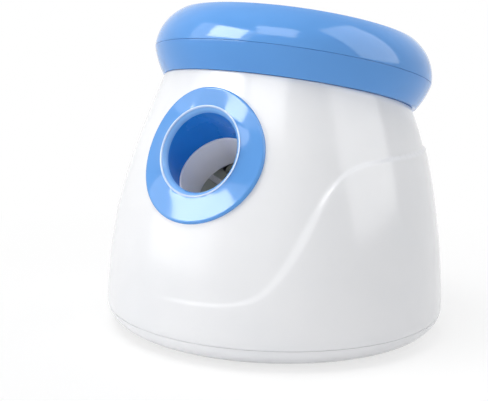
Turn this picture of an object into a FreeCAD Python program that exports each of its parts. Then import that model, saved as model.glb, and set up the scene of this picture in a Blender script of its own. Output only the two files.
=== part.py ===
"""Automatic ball launcher for dogs: a round hopper on a leaning drum-shaped housing, a launch
port in front, and inside it a sprung sled that a motor and a sector gear draw back.

Frame: millimetres, +Z up, the launch port faces -Y, origin under the middle of the base.
"""
import FreeCAD, Part
import math
import os

import Sketcher

V = FreeCAD.Vector
UP = V(0, 0, 1)
ALONG_X = V(1, 0, 0)
ALONG_Y = V(0, 1, 0)

# Driving dimensions: lengths in millimetres, angles in degrees.
SIZES = {
    # feet and base tray
    "foot_height": 2.0,
    "foot_radius": 9.0,
    "foot_sink": 0.8,
    "foot_inset": 33.0,
    "edge_round": 18.0,
    "tray_top": 15.0,
    "seam_gap": 0.5,
    "tray_tongue": 4.0,
    "boss_radius": 4.5,
    # outer form: eight round sections, each with its height, how much smaller than the base
    # its radius is, its set-back and its lean
    "base_radius": 125.0,
    "base_level": 20.0,
    "belly_inset": 1.6,
    "belly_level": 45.0,
    "belly_lean": 0.5,
    "hip_inset": 3.88,
    "hip_level": 65.0,
    "hip_back": 0.42,
    "hip_lean": 1.55,
    "waist_inset": 7.1,
    "waist_level": 85.0,
    "waist_back": 1.7,
    "waist_lean": 3.0,
    "rib_inset": 11.53,
    "rib_level": 106.0,
    "rib_back": 4.27,
    "rib_lean": 4.83,
    "chest_inset": 17.1,
    "chest_level": 127.0,
    "chest_back": 7.6,
    "chest_lean": 7.0,
    "shoulder_inset": 24.19,
    "shoulder_level": 149.0,
    "shoulder_back": 11.04,
    "shoulder_lean": 9.7,
    "neck_inset": 32.2,
    "neck_level": 170.0,
    "neck_back": 13.4,
    "neck_lean": 12.75,
    "wall": 2.5,
    # sweeping step in the flank: the slope's foot lies ahead of the middle by its reach
    "step_depth": 1.6,
    "step_low": 41.5,
    "step_high": 134.0,
    "step_slope": 60.0,
    "step_bend": 28.0,
    "step_reach": 91.0,
    "step_fade": 8.0,
    # collar and hopper bowl
    "collar_overhang": 1.2,
    "collar_flare": 8.6,
    "collar_seam": 19.0,
    "collar_gap": 0.4,
    "flare_round": 60.0,
    "crown_round": 32.4,
    "crown_inset": 13.7,
    "rim_level": 46.6,
    "rim_round": 4.5,
    "rim_width": 6.4,
    "bowl_round": 64.0,
    "bowl_floor": -3.0,
    "ball_slack": 5.6,
    "spout_end": -22.0,
    "collar_flange": 10.0,
    # launch port
    "ball_diameter": 50.8,
    "launch_angle": 42.0,
    "port_sunk": 2.33,
    "port_level": 138.2,
    "port_lean": 21.4,
    "barrel_slack": 2.1,
    "port_lip": 3.7,
    "rim_depth": 11.0,
    "port_bend": 4.3,
    "mouth_reach": 12.0,
    "flange_radius": 46.7,
    "flange_drop": 2.8,
    "flange_thick": 2.2,
    "throat_end": 25.0,
    "liner_step": 0.8,
    "liner_wall": 1.6,
    "liner_flange": 33.0,
    "liner_end": 52.5,
    # trough
    "trough_slack": 0.3,
    "trough_wall": 2.4,
    "trough_start": 44.0,
    "trough_end": 152.0,
    "rail_drop": 1.4,
    "rail_deep": 7.0,
    "rail_overhang": 6.2,
    "slot_half": 4.0,
    # sled
    "sled_face": 82.0,
    "pad_radius": 17.6,
    "sled_stroke": 36.0,
    "sled_skirt": 24.0,
    "sled_lug": 12.0,
    "slide_gap": 0.4,
    "rack_gap": 2.2,
    "rack_width": 5.0,
    "rack_pitch_drop": 8.0,
    "rack_lead": 24.0,
    "spring_radius": 4.0,
    "spring_wire": 1.1,
    "spring_anchor": 48.0,
    "spring_rise": 8.2,
    "spring_gap": 5.2,
    "eye_lead": 4.0,
    "eye_rise": 16.2,
    # gears: pitch sizes follow from the modules and tooth counts
    "sector_module": 1.25,
    "sector_teeth": 32.0,
    "sector_toothed": 16.0,
    "mesh_place": 98.0,
    "train_module": 1.0,
    "wheel_teeth": 36.0,
    "small_teeth": 12.0,
    "third_teeth": 30.0,
    "motor_teeth": 10.0,
    "tooth_play": 0.30,
    "wheel_width": 4.0,
    "wheel_step": 6.0,
    "wheel_gap": 2.5,
    "line_one": -20.0,
    "line_two": 12.0,
    "line_three": -12.0,
    "shaft_radius": 3.0,
    "pin_radius": 2.0,
    "running_gap": 0.08,
    "bush_wall": 1.6,
    # side frames and gearbox
    "frame_gap": 11.2,
    "frame_thick": 3.0,
    "frame_foot": 12.0,
    "frame_front": -44.0,
    "frame_rear": 18.0,
    "motor_radius": 13.85,
    "motor_length": 32.0,
    # chute
    "chute_wall": 2.5,
    "chute_bend": 45.0,
    "ball_seat": 92.0,
    # battery bay
    "cell_radius": 13.1,
    "cell_length": 49.5,
    "cell_pitch": 27.0,
    "bay_inset": 91.0,
    "door_gap": 0.4,
    "hinge_radius": 0.8,
    # electronics and controls
    "board_thick": 1.6,
    "panel_level": 70.0,
    "panel_width": 62.0,
    "panel_height": 30.0,
    "panel_gap": 0.25,
    "button_radius": 7.5,
    "button_spread": 17.0,
    "button_travel": 1.2,
    "button_gap": 0.25,
    "lens_radius": 1.6,
    "jack_level": 42.0,
    "jack_radius": 3.2,
    "screw_radius": 1.5,
    "screw_head": 2.8,
    "seat_gap": 0.2,
    "cutter_reach": 30.0,
}

doc = FreeCAD.newDocument("BallLauncher")
sheet = doc.addObject("Spreadsheet::Sheet", "Sizes")
for row, (name, value) in enumerate(SIZES.items(), start=1):
    sheet.set(f"A{row}", name)
    sheet.set(f"B{row}", str(value))
    sheet.setAlias(f"B{row}", name)
doc.recompute()


class Size(float):
    """A number that also carries the sheet expression it comes from."""

    def __new__(cls, value, text=None):
        number = float.__new__(cls, value)
        number.text = text or repr(float(value))
        return number

    def __add__(self, other):
        return joined(self, "+", other, float(self) + float(other))

    def __radd__(self, other):
        return joined(other, "+", self, float(other) + float(self))

    def __sub__(self, other):
        return joined(self, "-", other, float(self) - float(other))

    def __rsub__(self, other):
        return joined(other, "-", self, float(other) - float(self))

    def __mul__(self, other):
        return joined(self, "*", other, float(self) * float(other))

    def __rmul__(self, other):
        return joined(other, "*", self, float(other) * float(self))

    def __truediv__(self, other):
        return joined(self, "/", other, float(self) / float(other))

    def __neg__(self):
        return joined(0, "-", self, -float(self))


def text_of(number):
    return getattr(number, "text", repr(float(number)))


def joined(left, sign, right, value):
    return Size(value, f"({text_of(left)} {sign} {text_of(right)})")


def cosine(angle):
    return Size(math.cos(math.radians(angle)), f"cos({text_of(angle)})")


def sine(angle):
    return Size(math.sin(math.radians(angle)), f"sin({text_of(angle)})")


def root(number):
    return Size(math.sqrt(number), f"sqrt({text_of(number)})")


class Named:
    """Gives every driving dimension as an attribute, read from the sheet."""

    def __getattr__(self, name):
        return Size(float(getattr(sheet, name)), f"Sizes.{name}")


D = Named()

# What follows from the ball's size, from the ball's way outwards.
BALL_WAY = D.ball_diameter / 2 + D.ball_slack
THROAT_RADIUS = D.ball_diameter / 2 + D.barrel_slack
CREST_RADIUS = THROAT_RADIUS + D.port_lip
LINER_RADIUS = THROAT_RADIUS - D.liner_step
TROUGH_RADIUS = LINER_RADIUS + D.liner_wall + D.trough_slack
TROUGH_OUTER = TROUGH_RADIUS + D.trough_wall
RAIL_HALF = TROUGH_OUTER + D.rail_overhang
RAIL_TOP = TROUGH_RADIUS - D.rail_drop
RAIL_LOW = RAIL_TOP - D.rail_deep
RACK_INSIDE = TROUGH_OUTER + D.rack_gap
FRAME_INSIDE = TROUGH_OUTER + D.frame_gap
FRAME_OUTSIDE = FRAME_INSIDE + D.frame_thick
FIRST_WHEEL = FRAME_OUTSIDE + D.wheel_gap
COVER_INSIDE = FIRST_WHEEL + 2 * D.wheel_step + D.wheel_width + D.wheel_gap
COVER_OUTSIDE = COVER_INSIDE + D.frame_thick
LUG_REACH = FRAME_INSIDE - 1.5
PARTS = {}


# ---------------------------------------------------------------- building helpers

def bind(item, **sizes):
    """Set properties and tie them to the sheet."""
    for name, size in sizes.items():
        setattr(item, name, float(size))
        item.setExpression(name, text_of(size))
    return item


def place(item, spot, turn=None):
    item.Placement = FreeCAD.Placement(V(*[float(c) for c in spot]), turn or FreeCAD.Rotation())
    return item


def facing(direction):
    """The turn that brings +Z onto a direction."""
    return FreeCAD.Rotation(UP, V(*[float(c) for c in direction]))


# A flat outline drawn in local X and Y stands in the Y-Z plane, with local Z along +X.
SIDEWAYS = FreeCAD.Rotation(V(0, 1, 0), V(0, 0, 1), V(1, 0, 0))


def cylinder(name, radius, height, spot, direction=UP):
    item = bind(doc.addObject("Part::Cylinder", name), Radius=radius, Height=height)
    return place(item, spot, facing(direction))


def prism(name, radius, height, spot, direction=UP, sides=12):
    """A bar of even sides whose corners lie on a radius."""
    item = doc.addObject("Part::Prism", name)
    item.Polygon = sides
    bind(item, Circumradius=radius, Height=height)
    return place(item, spot, facing(direction))


def box(name, low, size, turn=None):
    item = bind(doc.addObject("Part::Box", name), Length=size[0], Width=size[1], Height=size[2])
    return place(item, low, turn)


def fused(name, *items):
    item = doc.addObject("Part::MultiFuse", name)
    item.Shapes = list(items)
    return item


def shared(name, *items):
    item = doc.addObject("Part::MultiCommon", name)
    item.Shapes = list(items)
    return item


def cut(name, base, *tools):
    item = doc.addObject("Part::Cut", name)
    item.Base = base
    item.Tool = tools[0] if len(tools) == 1 else fused(name + "_tools", *tools)
    return item


def chords(start, end, radius, side, steps):
    """Corners of the short flats that follow an arc between two points, both ends included."""
    centre = arc_centre(start, end, float(radius), side)
    spoke = V(float(start[0]), float(start[1]), 0) - centre
    swing = math.degrees(spoke.getAngle(V(float(end[0]), float(end[1]), 0) - centre)) * side
    corners = [start]
    for n in range(1, steps):
        share = n / steps
        on_arc = centre + FreeCAD.Rotation(UP, swing * share).multVec(spoke)
        straight = [a + (b - a) * share for a, b in zip(start, end)]
        corners.append((straight[0] + (on_arc.x - float(straight[0])),
                        straight[1] + (on_arc.y - float(straight[1]))))
    return corners + [end]


def group(name, *items):
    item = doc.addObject("Part::Compound", name)
    item.Links = list(items)
    return item


def part(node, item):
    """Register a finished sub-part under its node name."""
    item.Label = node
    PARTS[node] = item
    return item


def arc_centre(start, end, radius, side):
    """Centre of the short arc between two points; side +1 is left of the way, -1 right."""
    half = V(end[0] - start[0], end[1] - start[1], 0) * 0.5
    rise = math.sqrt(max(radius * radius - half.Length ** 2, 0.0))
    across = V(-half.y, half.x, 0).normalize()
    return V(start[0], start[1], 0) + half + across * (side * rise)


def outline(sketch, points):
    """Draw a closed outline with every vertex and arc radius tied to the sheet.

    A point is (across, up) or (across, up, radius, side) when an arc leads on from it.
    """
    ends = []
    for index, point in enumerate(points):
        following = points[(index + 1) % len(points)]
        start = V(float(point[0]), float(point[1]), 0)
        end = V(float(following[0]), float(following[1]), 0)
        if len(point) == 2:
            sketch.addGeometry(Part.LineSegment(start, end))
            ends.append((1, 2))
            continue
        centre = arc_centre(start, end, float(point[2]), point[3])
        first = math.atan2(start.y - centre.y, start.x - centre.x)
        last = math.atan2(end.y - centre.y, end.x - centre.x)
        circle = Part.Circle(centre, UP, float(point[2]))
        if point[3] > 0:
            sketch.addGeometry(Part.ArcOfCircle(circle, first, last))
            ends.append((1, 2))
        else:
            sketch.addGeometry(Part.ArcOfCircle(circle, last, first))
            ends.append((2, 1))
    for index in range(len(points)):
        after = (index + 1) % len(points)
        sketch.addConstraint(
            Sketcher.Constraint("Coincident", index, ends[index][1], after, ends[after][0]))
    for index, point in enumerate(points):
        vertex = ends[index][0]
        for kind, axis, size in (("DistanceX", -2, point[0]), ("DistanceY", -1, point[1])):
            if abs(float(size)) < 1e-9:
                sketch.addConstraint(Sketcher.Constraint("PointOnObject", index, vertex, axis))
                continue
            number = sketch.addConstraint(
                Sketcher.Constraint(kind, -1, 1, index, vertex, float(size)))
            sketch.setExpression(f"Constraints[{number}]", text_of(size))
        if len(point) > 2:
            number = sketch.addConstraint(Sketcher.Constraint("Radius", index, float(point[2])))
            sketch.setExpression(f"Constraints[{number}]", text_of(point[2]))


def sketch_on(body, role, name):
    sketch = body.newObject("Sketcher::SketchObject", name)
    plane = [item for item in body.Origin.OriginFeatures if item.Role == role][0]
    sketch.AttachmentSupport = [(plane, "")]
    sketch.MapMode = "FlatFace"
    return sketch


def revolved(name, points, spot=(0, 0, 0), turn=None):
    """A body turned about its own Z axis from an outline of (radius, height) points."""
    body = doc.addObject("PartDesign::Body", name)
    sketch = sketch_on(body, "XZ_Plane", name + "_profile")
    outline(sketch, points)
    turned = body.newObject("PartDesign::Revolution", name + "_turned")
    turned.Profile = sketch
    turned.ReferenceAxis = (sketch, ["V_Axis"])
    turned.Angle = 360
    return place(body, spot, turn)


def padded(name, points, thickness, spot=(0, 0, 0), turn=None):
    """A flat plate padded along its own +Z from an outline in its X-Y plane."""
    body = doc.addObject("PartDesign::Body", name)
    sketch = sketch_on(body, "XY_Plane", name + "_profile")
    outline(sketch, points)
    pad = body.newObject("PartDesign::Pad", name + "_pad")
    pad.Profile = sketch
    bind(pad, Length=thickness)
    return place(body, spot, turn)


# ---------------------------------------------------------------- shared geometry

LEAN = FreeCAD.Rotation(V(-1, 0, 0), float(D.neck_lean))
NECK = (0, D.neck_back, D.neck_level)
LAUNCH = (0, -cosine(D.launch_angle), sine(D.launch_angle))
RAISED = (0, sine(D.launch_angle), cosine(D.launch_angle))
PORT_OUT = (0, -cosine(D.port_lean), sine(D.port_lean))
# local X stays +X, local Y is up off the barrel, local Z runs back down the barrel
DOWN_BARREL = FreeCAD.Rotation(V(-1, 0, 0), V(*[float(c) for c in RAISED]),
                               V(*[-float(c) for c in LAUNCH]))


def in_neck(across, level):
    """A point given by its offset along Y and its height in the leaning frame of the neck."""
    return (0, D.neck_back + across * cosine(D.neck_lean) + level * sine(D.neck_lean),
            D.neck_level - across * sine(D.neck_lean) + level * cosine(D.neck_lean))


def in_barrel(x, depth, rise):
    """A point by its depth down the barrel from the port and its rise off the barrel's axis.

    The axis meets the port's own axis where the throat bends, so it passes over the lip's middle.
    """
    over = D.port_bend * sine(D.launch_angle - D.port_lean) + rise
    return (x, PORT_BACK - LAUNCH[1] * depth + RAISED[1] * over,
            D.port_level - LAUNCH[2] * depth + RAISED[2] * over)


def ring_section(name, radius, back, level, lean):
    circle = bind(doc.addObject("Part::Circle", name), Radius=radius)
    circle.Placement = FreeCAD.Placement(
        V(0, float(back), float(level)), FreeCAD.Rotation(V(-1, 0, 0), float(lean)))
    circle.setExpression("Placement.Base.y", text_of(back))
    circle.setExpression("Placement.Base.z", text_of(level))
    return circle


NECK_RADIUS = D.base_radius - D.neck_inset
SECTIONS = (
    ("base", D.base_radius, 0.0, D.base_level, 0.0),
    ("belly", D.base_radius - D.belly_inset, 0.0, D.belly_level, D.belly_lean),
    ("hip", D.base_radius - D.hip_inset, D.hip_back, D.hip_level, D.hip_lean),
    ("waist", D.base_radius - D.waist_inset, D.waist_back, D.waist_level, D.waist_lean),
    ("rib", D.base_radius - D.rib_inset, D.rib_back, D.rib_level, D.rib_lean),
    ("chest", D.base_radius - D.chest_inset, D.chest_back, D.chest_level, D.chest_lean),
    ("shoulder", D.base_radius - D.shoulder_inset, D.shoulder_back, D.shoulder_level,
     D.shoulder_lean),
    ("neck", NECK_RADIUS, D.neck_back, D.neck_level, D.neck_lean),
)


def drum_reach(level, side):
    """Where the housing's surface lies along Y at a level, in front (-1) or behind (+1)."""
    knots = [(height - side * radius * sine(lean), back + side * radius * cosine(lean))
             for _, radius, back, height, lean in SECTIONS]
    for (low, near), (high, far) in zip(knots, knots[1:]):
        if float(low) <= float(level) <= float(high):
            return near + (far - near) * ((level - low) / (high - low))
    raise ValueError("level is off the drum")


PORT_BACK = drum_reach(D.port_level, -1) + D.port_sunk


def drum(name, offset, top_drop=0.0, shift=(0, 0, 0), sections=SECTIONS):
    """The housing's outer form, its sections grown by an offset and its top set down."""
    rings = []
    for tag, radius, back, level, lean in sections:
        if tag == "neck" and top_drop:
            back = back - top_drop * sine(lean)
            level = level - top_drop * cosine(lean)
        rings.append(ring_section(f"{name}_{tag}", radius + offset, back, level, lean))
    loft = doc.addObject("Part::Loft", name)
    loft.Sections = rings
    loft.Solid = True
    loft.Ruled = True
    return place(loft, shift)


def screw(name, spot, direction, length):
    """A pan-head screw whose head seats at the spot and whose shank runs along the direction."""
    head_height = D.screw_head * 0.6
    away = [-float(c) for c in direction]
    head = prism(name + "_head", D.screw_head, head_height, spot, away)
    shank = prism(name + "_shank", D.screw_radius, length, spot, direction)
    return fused(name, head, shank)


# ---------------------------------------------------------------- base

FLOOR_LOW = D.foot_height
FLOOR_TOP = D.foot_height + D.wall
EDGE_CENTRE = D.base_radius - D.edge_round
FOOT_SIDE = float(D.base_radius - D.foot_inset) * math.sqrt(0.5)
FEET = [(sx * FOOT_SIDE, sy * FOOT_SIDE) for sx in (-1, 1) for sy in (-1, 1)]
POST_ANGLE = math.radians(56.0)
POST_CIRCLE = float(D.base_radius - D.edge_round) - 7.0
BOSSES = [(sx * POST_CIRCLE * math.sin(POST_ANGLE), sy * POST_CIRCLE * math.cos(POST_ANGLE))
          for sx in (-1, 1) for sy in (-1, 1)]


def edge_radius(level):
    """Radius of the rounded lower edge at a height below the base level."""
    drop = D.base_level - level
    return EDGE_CENTRE + root(D.edge_round * D.edge_round - drop * drop)


BAY_FRONT = D.base_radius - D.bay_inset
CELLS_WIDE = 3 * D.cell_pitch + 2 * D.cell_radius
BAY_HALF = CELLS_WIDE / 2 + 1.0
BAY_BACK = BAY_FRONT + D.cell_length + 2.4
BAY_TOP = FLOOR_TOP + 2 * D.cell_radius + 1.2
HINGE_LEVEL = D.foot_height + D.wall / 2


def make_base():
    """Shallow tray with a rounded edge, its door opening, bosses and foot pockets."""
    top_radius = edge_radius(D.tray_top)
    shell = revolved("tray_shell", [
        (0.0, FLOOR_LOW),
        *chords((EDGE_CENTRE, FLOOR_LOW), (top_radius, D.tray_top), D.edge_round, 1, 4),
        *chords((top_radius - D.wall, D.tray_top), (EDGE_CENTRE, FLOOR_TOP),
                D.edge_round - D.wall, -1, 2),
        (0.0, FLOOR_TOP),
    ])
    tongue = revolved("tray_tongue_ring", [
        (top_radius - 2 * D.wall - 1.0, D.tray_top - 6.0),
        (top_radius - D.wall - 0.6, D.tray_top - 6.0),
        (top_radius - D.wall - 0.6, D.tray_top + D.tray_tongue),
        (top_radius - 2 * D.wall - 0.6, D.tray_top + D.tray_tongue),
    ])
    bosses = [cylinder(f"tray_boss_{n}", D.boss_radius, D.frame_foot - FLOOR_TOP + 0.5,
                       (x, y, FLOOR_TOP - 0.5))
              for n, (x, y) in enumerate(frame_feet())]
    solid = fused("tray_solid", shell, tongue, *bosses)
    opening = box("door_opening", (-BAY_HALF + 1.0, BAY_FRONT - 2.0, FLOOR_LOW - 1.0),
                  (2 * BAY_HALF - 2.0, BAY_BACK - BAY_FRONT + 1.6, D.wall + 2.0))
    hinge_way = cylinder("door_pin_way", D.hinge_radius + D.running_gap, 2 * BAY_HALF + 4.0,
                         (-BAY_HALF - 2.0, BAY_FRONT, HINGE_LEVEL), ALONG_X)
    pockets = [cylinder(f"foot_pocket_{n}", D.foot_radius + D.seat_gap, D.foot_sink,
                        (x, y, FLOOR_LOW - 0.001)) for n, (x, y) in enumerate(FEET)]
    holes = [cylinder(f"tray_hole_{n}", D.screw_radius + D.seat_gap, D.frame_foot + 4.0,
                      (x, y, 1.0)) for n, (x, y) in enumerate(frame_feet())]
    posts = [cylinder(f"post_hole_{n}", D.screw_radius + D.seat_gap, 2 * D.wall,
                      (x, y, FLOOR_LOW - 1.0)) for n, (x, y) in enumerate(BOSSES)]
    sinks = [cylinder(f"post_sink_{n}", D.screw_head + D.seat_gap, D.wall - 0.8,
                      (x, y, FLOOR_LOW - 0.001)) for n, (x, y) in enumerate(BOSSES)]
    part("base_tray", cut("tray_cut", solid, opening, hinge_way, *pockets, *holes, *posts, *sinks))

    feet = [cylinder(f"foot_{n}", D.foot_radius, D.foot_height + D.foot_sink - 0.05, (x, y, 0))
            for n, (x, y) in enumerate(FEET)]
    part("rubber_feet", group("feet_group", *feet))
    screws = [screw(f"case_screw_{n}", (x, y, FLOOR_LOW + D.wall - 0.85), UP, 16.0)
              for n, (x, y) in enumerate(BOSSES)]
    part("case_screws", group("case_screws_group", *screws))


def frame_feet():
    """Places of the four screws that hold the two side frames to the tray."""
    x = FRAME_OUTSIDE + 6.0
    return [(side * float(x), y) for side in (-1, 1) for y in (D.frame_front, D.frame_rear)]


def make_battery_bay():
    """Box over the door opening, four cells side by side, contacts and a hinged door."""
    outer = box("bay_outer", (-BAY_HALF - 2.0, BAY_FRONT - 3.6, FLOOR_TOP),
                (2 * BAY_HALF + 4.0, BAY_BACK - BAY_FRONT + 5.2, BAY_TOP + 2.0 - FLOOR_TOP))
    inner = box("bay_inner", (-BAY_HALF, BAY_FRONT - 2.0, FLOOR_TOP - 1.0),
                (2 * BAY_HALF, BAY_BACK - BAY_FRONT + 2.0, BAY_TOP + 1.0 - FLOOR_TOP))
    part("battery_box", cut("bay_cut", outer, inner))

    level = FLOOR_TOP + 0.4 + D.cell_radius
    cells = []
    contacts = []
    for n in range(4):
        x = (n - 1.5) * D.cell_pitch
        front = BAY_FRONT + 0.6
        can = cylinder(f"cell_can_{n}", D.cell_radius, D.cell_length - 1.8,
                       (x, front, level), ALONG_Y)
        tip = cylinder(f"cell_tip_{n}", D.cell_radius * 0.28, 1.8,
                       (x, front + D.cell_length - 1.8, level), ALONG_Y)
        cells.append(fused(f"cell_{n}", can, tip))
        contacts.append(box(f"contact_{n}", (x - 6.0, front + D.cell_length + 0.1, level - 6.0),
                            (12.0, 1.2, 12.0)))
    part("battery_cells", group("cells_group", *cells))
    part("battery_contacts", group("contacts_group", *contacts))

    width = 2 * BAY_HALF - 2.0 - 2 * D.door_gap
    reach = BAY_BACK - BAY_FRONT - 0.4 - D.door_gap
    plate = box("door_plate", (-width / 2, BAY_FRONT, FLOOR_LOW), (width, reach, D.wall))
    nose = cylinder("door_nose", D.wall / 2, width, (-width / 2, BAY_FRONT, HINGE_LEVEL),
                    ALONG_X)
    pin = cylinder("door_pins", D.hinge_radius, width + 4.0,
                   (-width / 2 - 2.0, BAY_FRONT, HINGE_LEVEL), ALONG_X)
    grips = [box(f"door_grip_{n}", (-12.0, BAY_FRONT + reach - 6.0 - 3.0 * n, FLOOR_LOW - 0.1),
                 (24.0, 1.2, 0.8)) for n in range(3)]
    part("battery_door", cut("door_cut", fused("door_solid", plate, nose, pin), *grips))


# ---------------------------------------------------------------- housing

def step_prism():
    """Side outline of everything above the sweeping step, as a slab across the body."""
    low = D.step_low
    high = D.step_high
    bend = D.step_bend
    slope = D.step_slope
    run = (high - low) / (sine(slope) / cosine(slope))
    half_turn = (1 - cosine(slope)) / sine(slope)
    tangent = bend * half_turn
    start = -D.step_reach - run / 2 - 2.0
    foot = (start + 2.0, low)
    head = (start + 2.0 + run, high)
    out = D.base_radius + D.cutter_reach
    over = D.neck_level + 2 * D.cutter_reach
    points = [
        (-out, low),
        (foot[0] - tangent, low, bend, 1),
        (foot[0] + tangent * cosine(slope), low + tangent * sine(slope)),
        (head[0] - tangent * cosine(slope), high - tangent * sine(slope), bend, -1),
        (head[0] + tangent, high),
        (out, high),
        (out, over),
        (-out, over),
    ]
    return padded("step_slab", points, out + 20.0, (-20.0, 0, 0), SIDEWAYS)


def make_housing():
    """One-piece moulded drum, its flank stepped, open below and decked over at the neck."""
    low = D.tray_top + D.seam_gap
    skirt = revolved("housing_skirt", [
        (0.0, low),
        (edge_radius(low), low),
        (D.base_radius, D.base_level),
        (0.0, D.base_level),
    ])
    outer = drum("housing_outer", 0.0)
    slab = step_prism()
    shift = (-D.step_depth * cosine(D.step_fade), D.step_depth * sine(D.step_fade), 0)
    shifted = drum("housing_shifted", 0.0, 0.0, shift)
    below = cut("step_below", outer, slab)
    above = shared("step_above", outer, slab, shifted)
    stepped = fused("housing_stepped", skirt, below, above)
    cavity = drum("housing_cavity", -D.wall, D.wall)
    mouth = cylinder("housing_mouth", edge_radius(low) - D.wall, D.base_level - low + 1.2,
                     (0, 0, low - 1.0))
    hollow = cut("housing_hollow", stepped, fused("cavity_full", cavity, mouth))

    posts = []
    pilots = []
    for n, (x, y) in enumerate(BOSSES):
        posts.append(cylinder(f"post_{n}", D.boss_radius, 26.0, (x, y, D.tray_top - 8.0)))
        pilots.append(cylinder(f"pilot_{n}", D.screw_radius + 0.1, 18.0, (x, y, D.tray_top - 9.0)))
        angle = math.degrees(math.atan2(y, x))
        web = box(f"post_web_{n}", (x, y, D.tray_top + 6.0), (26.0, 2.0, 12.0),
                  FreeCAD.Rotation(UP, angle))
        posts.append(shared(f"post_web_in_{n}", web,
                            drum(f"post_web_form_{n}", -1.0, sections=SECTIONS[:2])))
    body = fused("housing_solid", hollow, *posts)

    port_way = cylinder("port_way", CREST_RADIUS + 8.4, 80.0,
                        in_port(-60.0), PORT_OUT)
    neck_way = cylinder("neck_way", BALL_WAY + 21.0, 20.0, in_neck(0.0, -12.0),
                        in_direction(LEAN))
    rear = drum_reach(D.panel_level, 1)
    panel_way = box("panel_way", (-D.panel_width / 2, rear - D.cutter_reach,
                                  D.panel_level - D.panel_height / 2),
                    (D.panel_width, 2 * D.cutter_reach, D.panel_height))
    jack_way = cylinder("jack_way", D.jack_radius + 2.2, 2 * D.cutter_reach,
                        (0, drum_reach(D.jack_level, 1) - D.cutter_reach, D.jack_level), ALONG_Y)
    deck_holes = [cylinder(f"deck_hole_{n}", D.screw_radius + 0.1, 12.0, spot, in_direction(LEAN))
                  for n, spot in enumerate(collar_screw_places(-9.0))]
    part("main_housing", cut("housing_cut", body, port_way, neck_way, panel_way, jack_way,
                             *pilots, *deck_holes))


def in_direction(turn):
    return turn.multVec(UP)


def in_port(distance):
    """A point on the port's own axis, a distance out from the lip plane."""
    return (0, PORT_BACK + PORT_OUT[1] * distance, D.port_level + PORT_OUT[2] * distance)


def collar_screw_places(level):
    radius = COLLAR_FOOT - D.collar_flange * 0.55
    places = []
    for angle in (45, 135, 225, 315):
        x = float(radius) * math.cos(math.radians(angle))
        across = float(radius) * math.sin(math.radians(angle))
        spot = in_neck(across, level)
        places.append((x, spot[1], spot[2]))
    return places


# ---------------------------------------------------------------- collar and hopper

COLLAR_FOOT = NECK_RADIUS + D.collar_overhang
COLLAR_WIDEST = COLLAR_FOOT + D.collar_flare
RIM_RADIUS = COLLAR_WIDEST - D.crown_inset
BOWL_LIP = RIM_RADIUS - D.rim_width


def make_collar():
    """Lower flared ring screwed to the deck, and the crown that turns in to the bowl."""
    wide = COLLAR_WIDEST
    seam = D.collar_seam
    gap = D.seat_gap
    lower = revolved("collar_lower_body", [
        (COLLAR_FOOT - D.collar_flange, gap),
        *chords((COLLAR_FOOT, gap), (wide, seam - D.collar_gap / 2), D.flare_round, 1, 3),
        *chords((wide - D.wall, seam - D.collar_gap / 2), (COLLAR_FOOT - 1.2, gap + D.wall),
                D.flare_round - D.wall, -1, 2),
        (COLLAR_FOOT - D.collar_flange, gap + D.wall),
    ], NECK, LEAN)
    holes = [cylinder(f"collar_hole_{n}", D.screw_radius + D.seat_gap, 12.0, spot,
                      in_direction(LEAN)) for n, spot in enumerate(collar_screw_places(-4.0))]
    part("collar_lower", cut("collar_lower_cut", lower, *holes))
    down = [-c for c in in_direction(LEAN)]
    screws = [screw(f"collar_screw_{n}", spot, down, 8.0)
              for n, spot in enumerate(collar_screw_places(float(gap + D.wall) + 0.1))]
    part("collar_screws", group("collar_screws_group", *screws))

    start = seam + D.collar_gap / 2
    spout = BALL_WAY + D.wall
    under = (spout, D.bowl_floor - D.wall + 0.5)
    lip_under = (BOWL_LIP + 1.6, D.rim_level - 5.4)
    crown = revolved("collar_upper_body", [
        *chords((wide - 0.02, start), (RIM_RADIUS, D.rim_level), D.crown_round, 1, 5),
        *chords((RIM_RADIUS, D.rim_level), (BOWL_LIP, D.rim_level - 0.6),
                D.rim_round, 1, 3)[1:],
        *chords((BOWL_LIP, D.rim_level - 0.6), (BALL_WAY, D.bowl_floor),
                D.bowl_round, -1, 6)[1:],
        (BALL_WAY, D.spout_end),
        (spout, D.spout_end),
        *chords(under, lip_under, D.bowl_round + D.wall, 1, 3),
        *chords((RIM_RADIUS - 1.0, D.rim_level - 4.6), (wide - D.wall, start),
                D.crown_round - D.wall, -1, 2),
    ], NECK, LEAN)
    tongue = revolved("collar_tongue", [
        (wide - D.wall - 3.4, seam - 2.5),
        (wide - D.wall - 1.6, seam - 2.5),
        (wide - D.wall - 1.6, seam + 12.0),
        (wide - D.wall - 3.4, seam + 12.0),
    ], NECK, LEAN)
    part("collar_upper", fused("collar_upper_solid", crown, tongue))


# ---------------------------------------------------------------- launch port

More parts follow.
